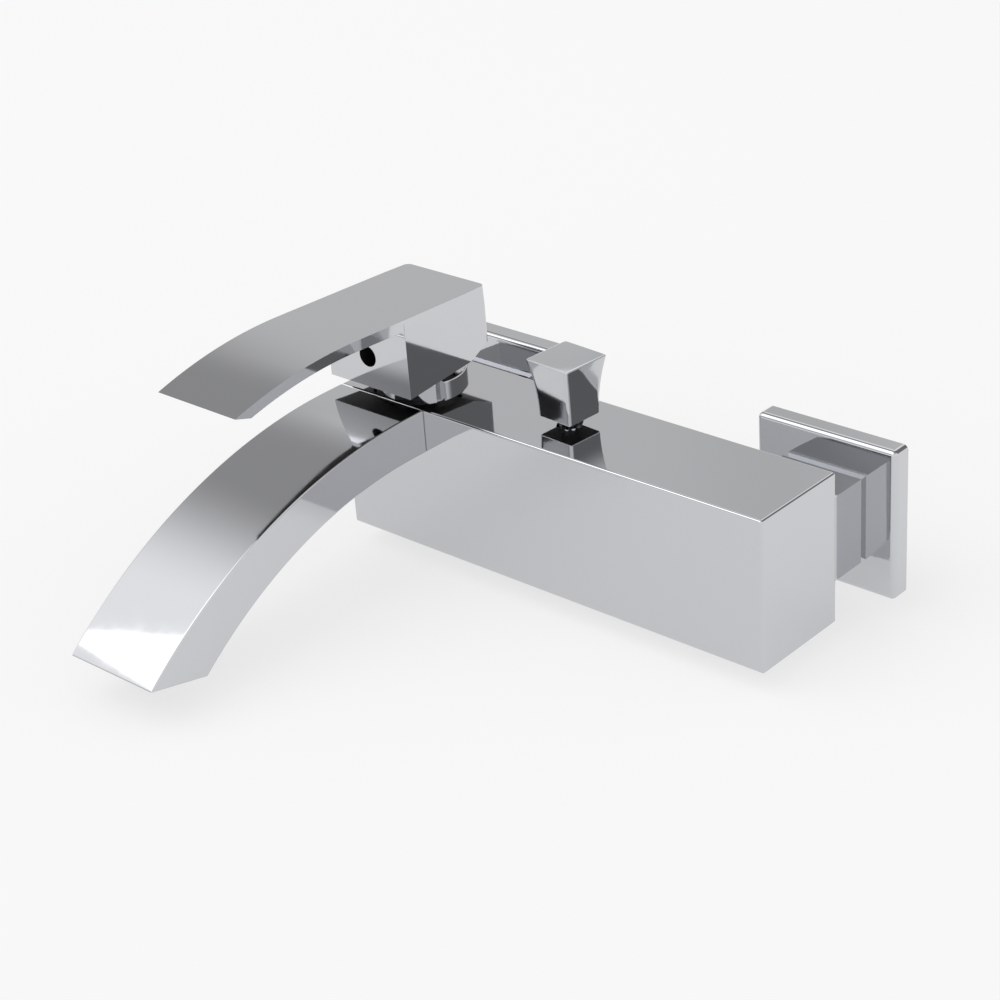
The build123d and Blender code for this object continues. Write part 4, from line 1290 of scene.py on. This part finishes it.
@dataclass
class Studio:
    """The pale floor, the soft light and the camera. Lengths are in metres."""

    floor_drop: float = 0.0376
    floor_size: float = 40.0
    floor_glow: float = 0.65
    paper: str = "#F6F6F6"
    sky_level: float = 0.75
    # The world is turned by this, so that no card lies across the seam of the bearings.
    sky_turn: float = -120.0
    half_turn: float = 180.0
    lamp_watts: float = 9.0
    lamp_size: float = 1.55
    lamp_place: Point = (-0.6, -0.9, 1.6)
    lens_mm: float = 84.58
    sensor_mm: float = 36.0
    near_clip: float = 0.01
    far_clip: float = 50.0
    place: Point = (0.48841, -0.60745, 0.38741)
    right: Point = (0.7474, 0.6611, -0.0656)
    down: Point = (0.2635, -0.3856, -0.8843)

    def build(self) -> None:
        """Makes the whole studio."""
        bpy.context.scene.view_settings.view_transform = "Standard"
        self.camera()
        self.floor()
        self.world()
        self.lamps()

    def background_rays(self, tree: Tree) -> Socket:
        """Tells the rays that show the background: the camera's, and those off metal and glass.

        Args:
            tree: The tree of the world or of a material.

        Returns:
            One for those rays and nothing for the rest.
        """
        path = add_node(tree, "ShaderNodeLightPath", {}, {})
        seen = path.outputs["Is Camera Ray"]
        for kind in ("Is Glossy Ray", "Is Transmission Ray"):
            either = add_node(
                tree, "ShaderNodeMath", {"operation": "MAXIMUM"}, {0: seen, 1: path.outputs[kind]}
            )
            seen = either.outputs[0]
        return seen

    def camera(self) -> None:
        """Puts the camera where the photograph was taken from."""
        data = bpy.data.cameras.new("photo_camera")
        data.lens = self.lens_mm
        data.sensor_width = self.sensor_mm
        data.clip_start = self.near_clip
        data.clip_end = self.far_clip
        camera = bpy.data.objects.new("photo_camera", data)
        bpy.context.scene.collection.objects.link(camera)
        across = Vector(self.right).normalized()
        up = -Vector(self.down)
        up = (up - across * up.dot(across)).normalized()
        back = across.cross(up)
        turn = Matrix((across, up, back)).transposed().to_4x4()
        camera.matrix_world = Matrix.Translation(Vector(self.place)) @ turn
        bpy.context.scene.camera = camera

    def floor(self) -> None:
        """Lays a pale floor that looks white, also in the metal, and keeps the soft shadow."""
        bpy.ops.object.select_all(action="DESELECT")
        bpy.ops.mesh.primitive_plane_add(size=self.floor_size, location=(0, 0, -self.floor_drop))
        floor = bpy.context.object
        floor.name = "studio_floor"
        bpy.ops.object.transform_apply(location=True)
        material = bpy.data.materials.new("matt_white_paper")
        material.use_nodes = True
        tree = material.node_tree
        tree.nodes.clear()
        paper = add_node(
            tree, "ShaderNodeBsdfDiffuse", {"Color": linear(self.paper), "Roughness": 1.0}, {}
        )
        white = add_node(tree, "ShaderNodeEmission", {"Color": (1, 1, 1, 1), "Strength": 1.0}, {})
        # Only part of the floor is the white that the background shows, so the shadow stays.
        share = add_node(
            tree, "ShaderNodeMath",
            {"operation": "MULTIPLY", 1: self.floor_glow}, {0: self.background_rays(tree)},
        )
        both = add_node(
            tree, "ShaderNodeMixShader", {},
            {0: share.outputs[0], 1: paper.outputs[0], 2: white.outputs[0]},
        )
        add_node(tree, "ShaderNodeOutputMaterial", {}, {0: both.outputs[0]})
        floor.data.materials.append(material)

    def world(self) -> None:
        """Surrounds the object with a white horizon under grey walls, alike to eye and metal."""
        world = bpy.data.worlds.new("soft_studio")
        bpy.context.scene.world = world
        world.use_nodes = True
        tree = world.node_tree
        tree.nodes.clear()
        place = add_node(tree, "ShaderNodeTexCoord", {}, {})
        turned = add_node(
            tree, "ShaderNodeVectorRotate",
            {"rotation_type": "Z_AXIS", "Angle": math.radians(self.sky_turn)},
            {"Vector": place.outputs["Generated"]},
        )
        parts = add_node(tree, "ShaderNodeSeparateXYZ", {}, {0: turned.outputs[0]})
        around = add_node(
            tree, "ShaderNodeMath",
            {"operation": "ARCTAN2"}, {0: parts.outputs["Y"], 1: parts.outputs["X"]},
        )
        bearing = add_node(
            tree, "ShaderNodeMath",
            {"operation": "MULTIPLY_ADD", 1: math.degrees(1), 2: self.half_turn},
            {0: around.outputs[0]},
        )
        lift = add_node(tree, "ShaderNodeMath", {"operation": "ARCSINE"}, {0: parts.outputs["Z"]})
        height = add_node(
            tree, "ShaderNodeMath",
            {"operation": "MULTIPLY", 1: math.degrees(1)}, {0: lift.outputs[0]},
        )
        white = add_node(tree, "ShaderNodeValue", {}, {})
        white.outputs[0].default_value = 1.0
        seen = white.outputs[0]
        for card in CARDS:
            seen = card.lay(tree, bearing.outputs[0], height.outputs[0], seen)
        room = add_node(tree, "ShaderNodeBackground", {"Strength": 1.0}, {0: seen})
        soft = add_node(
            tree, "ShaderNodeBackground", {0: (1, 1, 1, 1), "Strength": self.sky_level}, {}
        )
        both = add_node(
            tree, "ShaderNodeMixShader", {},
            {0: self.background_rays(tree), 1: soft.outputs[0], 2: room.outputs[0]},
        )
        add_node(tree, "ShaderNodeOutputWorld", {}, {0: both.outputs[0]})

    def lamps(self) -> None:
        """Hangs one large soft lamp overhead, to the left and in front, aimed at the object."""
        data = bpy.data.lights.new("overhead_softbox", "AREA")
        data.energy = self.lamp_watts
        data.size = self.lamp_size
        lamp = bpy.data.objects.new("overhead_softbox", data)
        bpy.context.scene.collection.objects.link(lamp)
        place = Vector(self.lamp_place)
        lamp.location = place
        lamp.rotation_euler = (-place).to_track_quat("-Z", "Y").to_euler()


def inlet(side: str) -> DressedPart:
    """Lists the pieces of one inlet with their finishes.

    Args:
        side: Left or right.

    Returns:
        The sub-assembly.
    """
    return DressedPart(side + " inlet", {
        side + "_inlet_tail": BRASS,
        side + "_filter_washer": RUBBER,
        side + "_union_nut": CHROME,
        side + "_wall_union": BRASS,
        side + "_wall_flange": CHROME,
    })


def main() -> None:
    """Builds every sub-assembly in order, then the studio."""
    logging.basicConfig(level=logging.INFO, format="%(name)s %(message)s")
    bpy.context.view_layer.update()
    hose_thread = ((-2.5, -42.0, -29.35), (-2.5, -42.0, -38.25))
    left_thread = ((-75.0, 0.6, 0.0), (-75.0, 16.0, 0.0))
    right_thread = ((75.0, 0.6, 0.0), (75.0, 16.0, 0.0))
    parts = [
        DressedPart("mixer body", {
            "body_block": CHROME, "spout": CHROME, "spout_seal": RUBBER, "spout_screws": STEEL,
            "flow_former": GRID_PLASTIC, "shower_outlet": CHROME, "outlet_seal": RUBBER,
        }),
        Spout(),
        DressedPart("cartridge", {
            "cartridge_base": ACETAL, "port_seals": RUBBER, "fixed_disc": CERAMIC,
            "moving_disc": CERAMIC, "disc_carrier": ACETAL, "rotor": DARK_ACETAL,
            "cartridge_housing": ACETAL, "cartridge_nut": CHROME, "pivot_pin": STEEL,
            "lever_stem": STEEL,
        }),
        DressedPart("lever", {"handle": CHROME, "handle_screw": STEEL}),
        Handle(),
        DressedPart("diverter", {
            "diverter_gland": CHROME, "rod_seal": RUBBER, "diverter_seat": BRASS,
            "diverter_rod": CHROME, "rod_clip": STEEL, "poppet": BRASS, "poppet_washers": RUBBER,
            "diverter_spring": STEEL, "knob": CHROME,
        }),
        Knob(),
        ReturnSpring(),
        Flange("left", -75.0),
        Flange("right", 75.0),
        ThreadedPiece("shower_outlet", "chrome_outlet", CHROME, *hose_thread),
        ThreadedPiece("left_wall_union", "brass_fittings", BRASS, *left_thread),
        ThreadedPiece("right_wall_union", "brass_fittings", BRASS, *right_thread),
        inlet("left"),
        inlet("right"),
    ]
    for part in parts:
        part.build()
    Studio().build()


if __name__ == "__main__":
    main()
